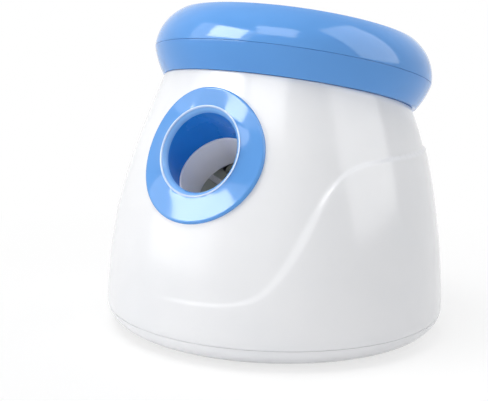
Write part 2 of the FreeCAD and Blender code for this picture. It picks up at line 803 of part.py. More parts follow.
def make_port():
    """Saddle flange on the housing, its raised lip, the throat behind it and the liner."""
    plus = drum("flange_outer", D.flange_thick)
    minus = drum("flange_inner", D.seat_gap)
    middle = in_port(-30.0)
    plug = cylinder("flange_plug", D.flange_radius, 60.0,
                    (0.0, middle[1] - D.flange_drop * sine(D.port_lean),
                     middle[2] - D.flange_drop * cosine(D.port_lean)), PORT_OUT)
    saddle = shared("flange_saddle", cut("flange_skin", plus, minus), plug)
    rim = revolved("port_lip_ring", [
        (0.0, -D.rim_depth),
        (CREST_RADIUS + 7.0, -D.rim_depth),
        (CREST_RADIUS + 7.0, -5.5),
        (CREST_RADIUS + 4.2, -1.6),
        (CREST_RADIUS + 2.0, -0.3),
        (CREST_RADIUS - 1.0, 0.0),
        (0.0, 0.0),
    ], in_port(0.0), facing(PORT_OUT))
    solid = fused("port_solid", saddle, rim, *throat("throat_outer", D.wall, 5.0, -1.0))
    flare = revolved("port_flare", [
        (0.0, D.mouth_reach),
        (CREST_RADIUS, D.mouth_reach),
        *chords((CREST_RADIUS, -0.2), (THROAT_RADIUS, -0.2 - D.port_lip), D.port_lip, 1, 4),
        (0.0, -0.2 - D.port_lip),
    ], in_port(0.0), facing(PORT_OUT))
    bore = throat("throat_inner", 0.0, 0.0, D.mouth_reach)
    part("port_bezel", cut("port_cut", solid, flare, *bore))

    liner = revolved("liner_body", [
        (LINER_RADIUS, 0.2),
        (D.liner_flange, 0.2),
        (D.liner_flange, 2.4),
        (LINER_RADIUS + D.liner_wall, 2.4),
        (LINER_RADIUS + D.liner_wall, D.liner_end - D.throat_end),
        (LINER_RADIUS, D.liner_end - D.throat_end),
    ], in_barrel(0, D.throat_end, 0), DOWN_BARREL)
    part("barrel_liner", liner)


def throat(name, offset, short, ahead):
    """Duct in two straight runs that meet in a mitre: the port's axis, then the barrel's."""
    radius = THROAT_RADIUS + offset
    back = [-float(c) for c in LAUNCH]
    inward = [-float(c) for c in PORT_OUT]
    mitre = V(*[float(a) + float(b) for a, b in zip(PORT_OUT, LAUNCH)]).normalize()
    bend = in_port(-D.port_bend)
    half = 60.0
    turn = facing(mitre)
    reach = [V(*[float(c) for c in bend]) + turn.multVec(V(-half, -half, low))
             for low in (0.0, -2 * half)]
    front = box(name + "_front_half", reach[0], (2 * half, 2 * half, 2 * half), turn)
    rear = box(name + "_rear_half", reach[1], (2 * half, 2 * half, 2 * half), turn)
    run = D.port_bend + ahead + 30.0 - short
    mouth = cylinder(name + "_mouth", radius, run, in_port(ahead - short), inward)
    deep = D.throat_end - D.port_bend * cosine(D.launch_angle - D.port_lean)
    shank = cylinder(name + "_shank", radius, deep + 40.0,
                     [c + l * 40.0 for c, l in zip(bend, LAUNCH)], back)
    return (shared(name + "_mouth_run", mouth, front), shared(name + "_shank_run", shank, rear))


# ---------------------------------------------------------------- trough and sled

def barrel_box(name, low, size):
    """A box given by x, depth and rise in the barrel's frame."""
    turn = FreeCAD.Rotation(V(1, 0, 0), V(*[-float(c) for c in LAUNCH]),
                            V(*[float(c) for c in RAISED]))
    return box(name, in_barrel(low[0], low[1], low[2]), size, turn)


def barrel_tube(name, radius, start, end):
    back = [-float(c) for c in LAUNCH]
    return cylinder(name, radius, end - start, in_barrel(0, start, 0), back)


def make_trough():
    """Open channel that the ball rolls down, slotted for the sled's lugs, railed on top."""
    inner = TROUGH_RADIUS
    outer = inner + D.trough_wall
    start = D.trough_start
    length = D.trough_end - start
    half = shared("trough_half", barrel_tube("trough_round", outer, start, D.trough_end),
                  barrel_box("trough_lower", (-60.0, start - 1.0, -60.0),
                             (120.0, length + 2.0, 60.0)))
    walls = barrel_box("trough_walls", (-outer, start, 0.0), (2 * outer, length, RAIL_TOP))
    rails = barrel_box("trough_rails", (-RAIL_HALF, start, RAIL_LOW),
                       (2 * RAIL_HALF, length, RAIL_TOP - RAIL_LOW))
    anchor_long = 3.0
    anchors = [barrel_box(f"spring_anchor_{tag}", (x, D.spring_anchor - anchor_long, 5.0),
                          (9.0, anchor_long, 12.0))
               for tag, x in (("right", outer - 1.0), ("left", -outer - 8.0))]
    ears = []
    for tag, sign in (("right", 1), ("left", -1)):
        for place_tag, depth, rise, tall in (("front", D.trough_start + 8.0, RAIL_LOW, 7.0),
                                             ("rear", D.trough_end - 7.0, -8.0, 20.0)):
            low = FRAME_INSIDE - D.seat_gap
            reach = low - (outer - 1.0)
            x = outer - 1.0 if sign > 0 else -low
            ears.append(barrel_box(f"trough_ear_{tag}_{place_tag}", (x, depth, rise),
                                   (reach, 7.0, tall)))
    solid = fused("trough_solid", half, walls, rails, *anchors, *ears)
    bore = barrel_tube("trough_bore", inner, start - 1.0, D.trough_end - D.trough_wall)
    clear = barrel_box("trough_clear", (-inner, start - 1.0, 0.0),
                       (2 * inner, D.trough_end - D.trough_wall - start + 1.0, 60.0))
    slot_front = D.sled_face + D.sled_lug - 7.4
    slots = barrel_box("lug_slots", (-60.0, slot_front, -D.slot_half),
                       (120.0, D.sled_stroke + 15.0, 2 * D.slot_half))
    eyes = cylinder("sensor_eyes", 2.6, 4 * inner,
                    in_barrel(-2 * inner, D.ball_seat - D.eye_lead, D.eye_rise), ALONG_X)
    part("ball_trough", cut("trough_cut", solid, bore, clear, slots, eyes))

    bumpers = [barrel_box(f"bumper_{tag}", (x, slot_front + 0.1, -D.slot_half + D.seat_gap),
                          (2.2, 2.8, 2 * D.slot_half - 2 * D.seat_gap))
               for tag, x in (("right", inner + 0.1), ("left", -inner - 2.3))]
    part("slot_bumpers", group("bumpers_group", *bumpers))
    eyes_out = []
    for tag, sign in (("emitter", -1), ("receiver", 1)):
        x = sign * float(inner + 0.4)
        spot = in_barrel(x, D.ball_seat - D.eye_lead, D.eye_rise)
        lens = prism(f"ball_{tag}_lens", 2.4, 6.6, spot, (sign, 0, 0))
        collar = prism(f"ball_{tag}_collar", 3.2, 1.6,
                       in_barrel(sign * (float(outer) + 0.2), D.ball_seat - D.eye_lead, D.eye_rise),
                       (sign, 0, 0))
        eyes_out.append(fused(f"ball_{tag}", lens, collar))
    part("ball_sensors", group("sensors_group", *eyes_out))


def make_sled():
    """Round pusher that rides in the trough, its two lugs, the rack and the face pad."""
    radius = TROUGH_RADIUS - D.slide_gap
    face = D.sled_face
    back = [-float(c) for c in LAUNCH]
    cup = revolved("sled_cup", [
        (0.0, 6.0),
        (0.0, 0.0),
        (radius - 1.0, 0.0),
        (radius, 1.0),
        (radius, D.sled_skirt),
        (radius - 2.4, D.sled_skirt),
        (radius - 2.4, 6.0),
    ], in_barrel(0, face, 0), DOWN_BARREL)
    lug_low = -D.slot_half + 0.5
    lug_tall = 2 * D.slot_half - 1.0
    lug = barrel_box("sled_lugs", (-LUG_REACH, face + D.sled_lug - 4.0, lug_low),
                     (2 * LUG_REACH, 8.0, lug_tall))
    hooks = [barrel_box(f"sled_hook_{tag}", (x, face + D.sled_lug - 4.0, lug_low),
                        (2.6, 8.0, D.spring_rise + 2.6 - lug_low))
             for tag, x in (("right", LUG_REACH - 2.6), ("left", -LUG_REACH))]
    ribs = [barrel_box(f"sled_rib_{n}", (x, face + 8.0, y), (w, D.sled_skirt - 9.0, t))
            for n, (x, y, w, t) in enumerate(((-1.0, -radius + 1.0, 2.0, 2 * radius - 2.0),
                                              (-radius + 1.0, -1.0, 2 * radius - 2.0, 2.0)))]
    shave = barrel_box("sled_top_flat", (-40.0, face - 5.0, RAIL_TOP - D.slide_gap),
                       (80.0, D.sled_skirt + 10.0, 10.0))
    part("launch_sled", cut("sled_cut", fused("sled_solid", cup, lug, *hooks, *ribs), shave))
    part("sled_face_pad", barrel_tube("face_pad_body", D.pad_radius, face - 1.6, face - 0.05))

    pitch = math.pi * D.sector_module
    start = D.sled_face + D.sled_lug - D.rack_lead - 12.0
    count = 12
    level = -D.rack_pitch_drop
    tall = D.sector_module
    backing = barrel_box("rack_backing", (RACK_INSIDE, start, level + 1.25 * tall),
                         (D.rack_width, count * pitch, -level - 1.25 * tall - D.slot_half + 0.45))
    teeth = []
    for n in range(count):
        middle = start + (n + 0.5) * pitch
        half_root = pitch / 4 + 1.25 * tall * math.tan(math.radians(20)) - D.tooth_play / 2
        half_tip = pitch / 4 - tall * math.tan(math.radians(20)) - D.tooth_play / 2
        corners = [(middle - half_root, level + 1.25 * tall + 0.01),
                   (middle - half_tip, level - tall),
                   (middle + half_tip, level - tall),
                   (middle + half_root, level + 1.25 * tall + 0.01)]
        wire = Part.makePolygon([V(*[float(c) for c in in_barrel(RACK_INSIDE, d, r)])
                                 for d, r in corners + corners[:1]])
        teeth.append(Part.Face(wire).extrude(V(float(D.rack_width), 0, 0)))
    comb = doc.addObject("Part::Feature", "rack_teeth")
    comb.Shape = teeth[0].multiFuse(teeth[1:])
    part("drive_rack", fused("rack_solid", backing, comb))

    springs = []
    for tag, sign in (("left", -1), ("right", 1)):
        first = D.spring_anchor + 0.6
        last = D.sled_face + D.sled_lug - 4.6
        x = sign * (TROUGH_OUTER + D.spring_gap)
        outer = cylinder(f"coil_outer_{tag}", D.spring_radius, last - first,
                         in_barrel(x, first, D.spring_rise), back)
        inner = cylinder(f"coil_inner_{tag}", D.spring_radius - D.spring_wire, last - first + 2.0,
                         in_barrel(x, first - 1.0, D.spring_rise), back)
        springs.append(part(f"sled_spring_{tag}", cut(f"coil_{tag}", outer, inner)))
    return springs


# ---------------------------------------------------------------- gears

def gear_points(teeth, module, play):
    """Corners of one tooth's flank as (radius, half angle), root first, its sides straight."""
    pitch_radius = teeth * module / 2
    base_radius = pitch_radius * math.cos(math.radians(20))
    tip_radius = pitch_radius + module
    root_radius = pitch_radius - 1.25 * module
    half_pitch_angle = math.pi / (2 * teeth) - play / (2 * pitch_radius)

    def half_angle(radius):
        if radius <= base_radius:
            unwound = 0.0
        else:
            angle = math.acos(base_radius / radius)
            unwound = math.tan(angle) - angle
        pressed = math.radians(20)
        return half_pitch_angle + math.tan(pressed) - pressed - unwound

    return [(root_radius, half_angle(root_radius)), (tip_radius, half_angle(tip_radius))]


def gear_shape(teeth, module, width, turn, spot, toothed=None):
    """Spur gear about +X at a spot; turn is the angle of its first tooth from +Y toward +Z."""
    teeth = int(teeth)
    flank = gear_points(teeth, float(module), float(D.tooth_play) / 2)
    points = []
    for n in range(teeth):
        middle = math.radians(turn) + n * 2 * math.pi / teeth
        if toothed is not None and n >= int(toothed):
            radius = flank[0][0]
            points.append((radius, middle - math.pi / teeth / 2))
            points.append((radius, middle + math.pi / teeth / 2))
            continue
        points += [(radius, middle - half) for radius, half in flank]
        points += [(radius, middle + half) for radius, half in reversed(flank)]
    x, y, z = [float(c) for c in spot]
    corners = [V(x, y + r * math.cos(a), z + r * math.sin(a)) for r, a in points]
    face = Part.Face(Part.makePolygon(corners + corners[:1]))
    return face.extrude(V(float(width), 0, 0))


def mate_turn(first_turn, first_teeth, second_teeth, line):
    """Angle of a tooth of the second gear so that it meshes with the first along a line."""
    lead = first_turn - line
    lead -= round(lead * first_teeth / 360.0) * 360.0 / first_teeth
    return line + 180.0 - lead * first_teeth / second_teeth + 180.0 / second_teeth


def gear_centres():
    """The four axes of the train in the Y-Z plane: output, first, second and motor."""
    sector_radius = D.sector_module * D.sector_teeth / 2
    start = in_barrel(0, D.mesh_place, -D.rack_pitch_drop - sector_radius)
    centres = [(float(start[1]), float(start[2]))]
    spans = ((D.wheel_teeth + D.small_teeth, D.line_one),
             (D.wheel_teeth + D.small_teeth, D.line_two),
             (D.third_teeth + D.motor_teeth, D.line_three))
    for teeth, line in spans:
        reach = float(D.train_module * teeth) / 2
        angle = math.radians(float(line))
        centres.append((centres[-1][0] + reach * math.cos(angle),
                        centres[-1][1] + reach * math.sin(angle)))
    return centres


def gear_node(node, shapes):
    item = doc.addObject("Part::Feature", node + "_solid")
    solid = shapes[0].fuse(shapes[1:]) if len(shapes) > 1 else shapes[0]
    item.Shape = solid
    part(node, item)


def rod_shape(radius, start, end, centre):
    return Part.makeCylinder(float(radius), float(end - start),
                             V(float(start), centre[0], centre[1]), ALONG_X)


def make_gears():
    """Sector gear on the output shaft and a three-stage reduction from the motor."""
    output, first, second, motor = gear_centres()
    width = D.wheel_width
    x_one = FIRST_WHEEL
    x_two = x_one + D.wheel_step
    x_three = x_two + D.wheel_step
    cover = COVER_INSIDE

    # the sector's first tooth meshes with the rack: a rack gap lies where the tooth points
    up_line = 90.0 - float(D.launch_angle)
    pitch = math.pi * float(D.sector_module)
    rack_start = float(D.sled_face + D.sled_lug - D.rack_lead - 12.0)
    along = (float(D.mesh_place) - rack_start) / pitch
    off = (along - round(along)) * pitch
    sector_radius = float(D.sector_module * D.sector_teeth) / 2
    first_angle = up_line + math.degrees(off / sector_radius)
    step = 360.0 / float(D.sector_teeth)
    sector_turn = first_angle - 3 * step
    sector = gear_shape(D.sector_teeth, D.sector_module, D.rack_width,
                        sector_turn, (RACK_INSIDE, *output), D.sector_toothed)
    hub = rod_shape(D.shaft_radius + 3.0, RACK_INSIDE - 1.2,
                    FRAME_INSIDE - 0.4, output)
    bore = rod_shape(D.shaft_radius, RACK_INSIDE - 3.0, FRAME_INSIDE + 1.0, output)
    gear_node("sector_gear", [sector.fuse(hub).cut(bore)])
    output_turn = 5.0
    wheel = gear_shape(D.wheel_teeth, D.train_module, width, output_turn, (x_one, *output))
    wheel_hub = rod_shape(D.shaft_radius + 2.6, FRAME_OUTSIDE + 0.6,
                          x_one + width + 1.0, output)
    wheel_bore = rod_shape(D.shaft_radius, x_one - 4.0, x_one + width + 3.0, output)
    gear_node("output_wheel", [wheel.fuse(wheel_hub).cut(wheel_bore)])
    gear_node("output_shaft", [rod_shape(D.shaft_radius - 0.01, RACK_INSIDE - 2.0,
                                         cover + D.frame_thick - 0.4, output)])

    first_turn = mate_turn(output_turn, float(D.wheel_teeth), float(D.small_teeth),
                           float(D.line_one))
    compound_gear("first_gear", x_one, x_two, first, first_turn, D.wheel_teeth)
    second_turn = mate_turn(0.0, float(D.wheel_teeth), float(D.small_teeth), float(D.line_two))
    compound_gear("second_gear", x_two, x_three, second, second_turn, D.third_teeth)
    motor_turn = mate_turn(0.0, float(D.third_teeth), float(D.motor_teeth), float(D.line_three))
    pinion = gear_shape(D.motor_teeth, D.train_module, width + 0.6, motor_turn,
                        (x_three - 0.3, *motor))
    shaft_hole = rod_shape(1.15, x_three - 3.0, x_three + width + 3.0, motor)
    gear_node("motor_pinion", [pinion.cut(shaft_hole)])
    gear_node("motor_shaft", [rod_shape(1.14, x_three - 1.0, COVER_OUTSIDE + 3.0,
                                        motor)])


def compound_gear(node, pinion_x, wheel_x, centre, pinion_turn, wheel_teeth):
    """A small and a large gear moulded in one, turning on a steel pin."""
    width = D.wheel_width
    pinion = gear_shape(D.small_teeth, D.train_module, wheel_x - pinion_x + 0.5, pinion_turn,
                        (pinion_x - 0.3, *centre))
    wheel = gear_shape(wheel_teeth, D.train_module, width, 0.0, (wheel_x, *centre))
    bore = rod_shape(D.pin_radius + D.running_gap, pinion_x - 3.0, wheel_x + width + 3.0, centre)
    gear_node(node, [wheel.fuse(pinion).cut(bore)])


# ---------------------------------------------------------------- frames and motor

def frame_outline():
    """Side outline of the frames in the Y-Z plane, from the foot round over the trough."""
    top = in_barrel(0, D.trough_start + 18.0, RAIL_TOP + 2.0)
    top_front = in_barrel(0, D.trough_start + 4.0, RAIL_TOP + 2.0)
    chin = in_barrel(0, D.trough_start + 7.0, -RAIL_LOW)
    output, _, second, _ = gear_centres()
    return [
        (D.frame_front - 20.0, D.frame_foot),
        (D.frame_rear + 8.0, D.frame_foot),
        (second[0] + 26.0, second[1] - 10.0),
        (second[0] + 32.0, second[1] - 2.0),
        (second[0] + 28.0, second[1] + 13.0),
        (second[0] + 6.0, second[1] + 25.0),
        (top[1], top[2]),
        (top_front[1], top_front[2]),
        (chin[1], chin[2]),
        (output[0] - 24.0, output[1] + 18.0),
    ]


def make_frames():
    """Two side plates that stand on the tray and carry the trough, gears and board."""
    output, first, second, motor = gear_centres()
    for side, sign in (("right", 1), ("left", -1)):
        x = FRAME_INSIDE if sign > 0 else -FRAME_INSIDE - D.frame_thick
        plate = padded(f"frame_{side}_plate", frame_outline(), D.frame_thick, (x, 0, 0), SIDEWAYS)
        feet = []
        holes = []
        for n, (fx, fy) in enumerate(spot for spot in frame_feet() if spot[0] * sign > 0):
            low = min(float(x), fx - 6.0 * sign) if sign > 0 else fx - 6.0
            feet.append(box(f"frame_{side}_foot_{n}", (low, fy - 7.0, D.frame_foot),
                            (12.0 + 3.0, 14.0, 3.0)))
            holes.append(prism(f"frame_{side}_foot_hole_{n}", D.screw_radius + D.seat_gap, 8.0,
                                  (fx, fy, D.frame_foot - 2.0)))
        openings = [prism(f"frame_{side}_light_{n}", r, 10.0, (x - 3.0, y, z), ALONG_X, 6)
                    for n, (y, z, r) in enumerate(((output[0] - 6.0, output[1] + 36.0, 9.0),
                                                   (output[0] + 20.0, output[1] + 32.0, 7.0),
                                                   (second[0] + 14.0, second[1] + 4.0, 6.0)))]
        if sign > 0:
            openings.append(bush_hole("frame", x, output))
            openings += [pin_hole(f"frame_pin_{n}", x, spot)
                         for n, spot in enumerate((first, second))]
        solid = fused(f"frame_{side}_solid", plate, *feet)
        part(f"{side}_frame", cut(f"frame_{side}_cut", solid, *openings, *holes))
    screws = [screw(f"frame_screw_{n}", (x, y, D.frame_foot + 3.1), (0, 0, -1), 9.0)
              for n, (x, y) in enumerate(frame_feet())]
    part("frame_screws", group("frame_screws_group", *screws))

    pins = [cylinder(f"gear_pin_{n}", D.pin_radius, COVER_OUTSIDE - FRAME_INSIDE,
                     (FRAME_INSIDE, *spot), ALONG_X) for n, spot in enumerate((first, second))]
    part("gear_pins", group("gear_pins_group", *pins))

    corner = (motor[0] + 17.0, motor[1])
    cover_points = [
        (output[0] - 12.0, output[1] - 12.0),
        (first[0] - 6.0, first[1] - 22.0),
        (first[0] + 16.0, first[1] - 26.0),
        (corner[0], corner[1] - 18.0),
        (corner[0], corner[1] + 18.0),
        (second[0] + 16.0, second[1] + 23.0),
        (first[0] - 6.0, first[1] + 28.0),
        (output[0], output[1] + 14.0),
        (output[0] - 12.0, output[1] + 8.0),
    ]
    plate = padded("cover_plate", cover_points, D.frame_thick, (COVER_INSIDE, 0, 0), SIDEWAYS)
    spots = pillar_places()
    low = FRAME_OUTSIDE
    pillars = [prism(f"cover_pillar_{n}", 3.8, COVER_INSIDE - low + 0.1, (low, y, z), ALONG_X)
               for n, (y, z) in enumerate(spots)]
    holes = [bush_hole("cover", COVER_INSIDE, output)]
    holes += [pin_hole(f"cover_pin_{n}", COVER_INSIDE, spot)
              for n, spot in enumerate((first, second))]
    holes.append(cylinder("motor_nose_way", 5.2, 10.0, (COVER_INSIDE - 3.0, *motor), ALONG_X))
    holes += [prism(f"pillar_way_{n}", D.screw_radius + D.seat_gap, 40.0,
                       (low - 2.0, y, z), ALONG_X) for n, (y, z) in enumerate(spots)]
    holes += [prism(f"motor_screw_way_{n}", D.screw_radius + D.seat_gap, 10.0,
                       (COVER_INSIDE - 3.0, y, z), ALONG_X)
              for n, (y, z) in enumerate(motor_screw_places())]
    part("gearbox_cover", cut("cover_cut", fused("cover_solid", plate, *pillars), *holes))
    screws = [screw(f"cover_screw_{n}", (COVER_OUTSIDE + 0.1, y, z), (-1, 0, 0),
                    COVER_OUTSIDE - low - 0.4)
              for n, (y, z) in enumerate(spots)]
    part("gearbox_screws", group("gearbox_screws_group", *screws))

    bushes = []
    for tag, x in (("frame", FRAME_INSIDE), ("cover", COVER_INSIDE)):
        sleeve = cylinder(f"bush_{tag}_sleeve", D.shaft_radius + D.bush_wall, D.frame_thick,
                          (x, *output), ALONG_X)
        bore = cylinder(f"bush_{tag}_bore", D.shaft_radius + D.running_gap, 12.0,
                        (x - 4.0, *output), ALONG_X)
        bushes.append(cut(f"bush_{tag}", sleeve, bore))
    part("shaft_bushes", group("bushes_group", *bushes))

    start = COVER_OUTSIDE + 0.1
    can = cylinder("motor_can", D.motor_radius, D.motor_length, (start, *motor), ALONG_X)
    nose = cylinder("motor_nose", 5.0, 1.8, (start - 1.8, *motor), ALONG_X)
    tail = cylinder("motor_tail", 4.6, 2.4, (start + D.motor_length, *motor), ALONG_X)
    bore = cylinder("motor_bore", 1.14 + D.running_gap, 12.0, (start - 4.0, *motor), ALONG_X)
    tabs = [box(f"motor_tab_{n}", (start + D.motor_length - 0.2, motor[0] + dy - 0.4,
                                   motor[1] - 1.5), (4.4, 0.8, 3.0))
            for n, dy in enumerate((-9.0, 9.0))]
    taps = [prism(f"motor_tap_{n}", D.screw_radius + 0.05, 6.0, (start - 1.0, y, z), ALONG_X)
            for n, (y, z) in enumerate(motor_screw_places())]
    part("drive_motor", cut("motor_cut", fused("motor_solid", can, nose, tail, *tabs), bore, *taps))
    screws = [screw(f"motor_screw_{n}", (COVER_INSIDE - 0.1, y, z), (1, 0, 0), 7.0)
              for n, (y, z) in enumerate(motor_screw_places())]
    part("motor_screws", group("motor_screws_group", *screws))


def motor_screw_places():
    motor = gear_centres()[3]
    return [(motor[0] + 1.0, motor[1] + 9.0 * s) for s in (-1, 1)]


def pillar_places():
    _, first, second, _ = gear_centres()
    return [(first[0] - 2.0, first[1] + 23.4), (second[0] + 12.0, second[1] + 18.6),
            (first[0] + 13.0, first[1] - 20.6)]


def bush_hole(tag, x, spot):
    return cylinder(f"{tag}_bush_way", D.shaft_radius + D.bush_wall + 0.03, 12.0,
                    (x - 4.0, *spot), ALONG_X)


def pin_hole(tag, x, spot):
    return cylinder(f"{tag}_way", D.pin_radius + 0.03, 12.0, (x - 4.0, *spot), ALONG_X)


# ---------------------------------------------------------------- chute

def chute_axis():
    """Start and end of the chute's leaning leg: from the bend under the spout to the seat."""
    bend = in_neck(0.0, -D.chute_bend)
    seat = in_barrel(0, D.ball_seat, 0)
    return bend, seat


def make_chute():
    """Tube that takes the ball from the bowl's spout and sets it down in the trough."""
    bend, seat = chute_axis()
    way = V(*[float(b) - float(a) for a, b in zip(bend, seat)])
    down = [-c for c in in_direction(LEAN)]
    top = in_neck(0.0, D.spout_end + 9.0)
    lean_down = V(*[float(c) for c in down])
    mitre = facing(-(lean_down + V(way).normalize()))
    half = 90.0
    corner = [V(*[float(c) for c in bend]) + mitre.multVec(V(-half, -half, low))
              for low in (0.0, -2 * half)]
    solids = []
    for tag, radius, start in (("outer", BALL_WAY + D.chute_wall, D.spout_end - 0.3),
                               ("inner", BALL_WAY, D.spout_end + 12.0)):
        above = box(f"chute_above_{tag}", corner[0], (2 * half, 2 * half, 2 * half), mitre)
        below = box(f"chute_below_{tag}", corner[1], (2 * half, 2 * half, 2 * half), mitre)
        upper = cylinder(f"chute_upper_{tag}", radius, D.chute_bend + start + 40.0,
                         in_neck(0.0, start), down)
        behind = V(*[float(c) for c in bend]) - V(way).normalize() * 40.0
        lower = cylinder(f"chute_lower_{tag}", radius, way.Length * 1.2 + 40.0, behind, way)
        solids.append(fused(f"chute_{tag}", shared(f"chute_upper_run_{tag}", upper, above),
                            shared(f"chute_lower_run_{tag}", lower, below)))
    socket_radius = BALL_WAY + D.wall + 0.4
    socket = cylinder("chute_socket", socket_radius + D.chute_wall, 12.0, top, down)
    socket_way = cylinder("chute_socket_way", socket_radius, 9.3, top, down)
    keep = barrel_box("chute_keep", (-2 * RAIL_HALF, -D.trough_start,
                                     RAIL_TOP + D.seat_gap),
                      (4 * RAIL_HALF, 2 * D.trough_end, D.trough_end))
    solid = shared("chute_kept", fused("chute_solid", solids[0], socket), keep)
    part("drop_chute", cut("chute_cut", solid, solids[1], socket_way))


# ---------------------------------------------------------------- electronics and controls

def make_board():
    """Main board on the left frame with its chips, capacitor, buzzer and plugs."""
    left = -(FRAME_OUTSIDE)
    face = left - 5.0
    board = box("board_plate", (face - D.board_thick, -48.0, 30.0),
                (D.board_thick, 62.0, 40.0))
    posts = [prism(f"board_post_{n}", 3.0, 5.0 - 0.1, (left - 5.0 + 0.05, y, z), ALONG_X, 6)
             for n, (y, z) in enumerate(board_screw_places())]
    holes = [prism(f"board_hole_{n}", D.screw_radius + D.seat_gap, 20.0, (face - 8.0, y, z),
                   ALONG_X) for n, (y, z) in enumerate(board_screw_places())]
    part("main_board", cut("board_cut", board, *holes))
    spacers = [cut(f"board_spacer_{n}", post, hole)
               for n, (post, hole) in enumerate(zip(posts, holes))]
    part("board_spacers", group("spacers_group", *spacers))
    screws = [screw(f"board_screw_{n}", (face - D.board_thick - 0.1, y, z), (1, 0, 0), 6.0)
              for n, (y, z) in enumerate(board_screw_places())]
    part("board_screws", group("board_screws_group", *screws))
    outer = face - D.board_thick - 0.05
    chips = [box(f"chip_{n}", (outer - tall, y, z), (tall, wide, high))
             for n, (y, z, wide, high, tall) in enumerate(((-30.0, 44.0, 12.0, 12.0, 1.8),
                                                           (-12.0, 58.0, 8.0, 5.0, 1.6),
                                                           (-40.0, 60.0, 14.0, 6.0, 6.0),
                                                           (-2.0, 44.0, 6.0, 14.0, 6.0)))]
    can = cylinder("capacitor", 5.0, 12.0, (outer - 12.0, -10.0, 44.0), ALONG_X)
    part("board_parts", group("board_parts_group", *chips, can))
    part("buzzer", cylinder("buzzer_can", 6.0, 7.0, (outer - 7.0, -31.0, 37.0), ALONG_X))


def board_screw_places():
    return [(y, z) for y in (-44.0, 10.0) for z in (34.0, 66.0)]


def panel_skin(name, outer_offset, inner_offset, low, size):
    skin = cut(name + "_skin", drum(name + "_out", outer_offset), drum(name + "_in", inner_offset))
    return shared(name, skin, box(name + "_frame", low, size))


def make_controls():
    """Rear panel with two buttons and three indicator lenses, and the power inlet."""
    width = D.panel_width - 2 * D.panel_gap
    tall = D.panel_height - 2 * D.panel_gap
    level = D.panel_level
    near = drum_reach(level, 1) - D.cutter_reach
    reach = 2 * D.cutter_reach
    plate = panel_skin("panel_face", -0.4, -D.wall - 0.3, (-width / 2, near, level - tall / 2),
                       (width, reach, tall))
    back = panel_skin("panel_back", -D.wall - 0.2, -D.wall - 2.2,
                      (-width / 2 - 4.0, near, level - tall / 2 - 4.0),
                      (width + 8.0, reach, tall + 8.0))
    spots = [-D.button_spread, D.button_spread]
    wells = [cylinder(f"button_well_{n}", D.button_radius + D.button_gap, reach,
                      (x, near, level), ALONG_Y) for n, x in enumerate(spots)]
    lens_spots = [(x, level + 9.0) for x in (-6.0, 0.0, 6.0)]
    lens_ways = [cylinder(f"lens_way_{n}", D.lens_radius + 0.1, reach, (x, near, z), ALONG_Y)
                 for n, (x, z) in enumerate(lens_spots)]
    part("control_panel", cut("panel_cut", fused("panel_solid", plate, back), *wells, *lens_ways))

    top = rear_of_drum(float(D.button_spread), level)
    middle = rear_of_drum(0.0, level)
    inside = top - 10.9
    for node, x in (("power_button", spots[0]), ("distance_button", spots[1])):
        cap = cylinder(node + "_cap", D.button_radius, 8.8, (x, top - 7.4, level), ALONG_Y)
        skirt = cylinder(node + "_skirt", D.button_radius + 1.4, 1.4, (x, top - 8.5, level),
                         ALONG_Y)
        stem = cylinder(node + "_stem", 2.0, 3.0, (x, inside, level), ALONG_Y)
        part(node, fused(node + "_solid", cap, skirt, stem))
    lenses = [cylinder(f"lens_{n}", D.lens_radius, 5.0, (x, middle - 5.0, z), ALONG_Y)
              for n, (x, z) in enumerate(lens_spots)]
    part("indicator_lenses", group("lenses_group", *lenses))

    board_face = inside - D.button_travel - 4.0
    board = box("control_board_plate", (-30.0, board_face - D.board_thick, level - 14.0),
                (60.0, D.board_thick, 28.0))
    domes = [cylinder(f"switch_{n}", 3.0, 3.6, (x, board_face - 0.05, level), ALONG_Y)
             for n, x in enumerate(spots)]
    lamps = [cylinder(f"lamp_{n}", 1.5, middle - 5.4 - board_face, (x, board_face - 0.05, z),
                      ALONG_Y) for n, (x, z) in enumerate(lens_spots)]
    part("control_board", fused("control_board_solid", board, *domes, *lamps))
    legs = []
    leg_radius = 2.2
    for n, (x, z) in enumerate(((-27.0, level - 11.0), (27.0, level - 11.0),
                                (-27.0, level + 11.0), (27.0, level + 11.0))):
        end = rear_of_drum(abs(x) + leg_radius, z, D.wall + 2.6)
        legs.append(prism(f"panel_leg_{n}", leg_radius, end - board_face - 0.1,
                          (x, board_face + 0.1, z), ALONG_Y, 6))
    part("board_legs", group("legs_group", *legs))

    wall_at = rear_of_drum(0.0, D.jack_level)
    block = box("jack_block", (-4.5, wall_at - float(D.wall) - 15.0, D.jack_level - 5.5),
                (9.0, 14.0, 11.0))
    barrel = cylinder("jack_barrel", D.jack_radius + 1.8, 4.0,
                      (0, wall_at - float(D.wall) - 1.2, D.jack_level), ALONG_Y)
    bore = cylinder("jack_bore", D.jack_radius, 30.0, (0, wall_at - 12.0, D.jack_level), ALONG_Y)
    part("power_inlet", cut("jack_cut", fused("jack_solid", block, barrel), bore))
    part("inlet_pin", cylinder("inlet_pin_rod", 1.05, 9.0, (0, wall_at - 12.0, D.jack_level),
                               ALONG_Y))


def rear_of_drum(x, level, depth=0.0):
    """How far back the housing's rear surface lies, a given distance to one side."""
    radius = float(drum_reach(level, 1)) - float(depth)
    return math.sqrt(radius * radius - x * x)


# ---------------------------------------------------------------- build and export

make_base()
make_battery_bay()
make_housing()
make_collar()
make_port()
make_trough()
make_sled()
make_gears()
make_frames()
make_chute()
make_board()
make_controls()

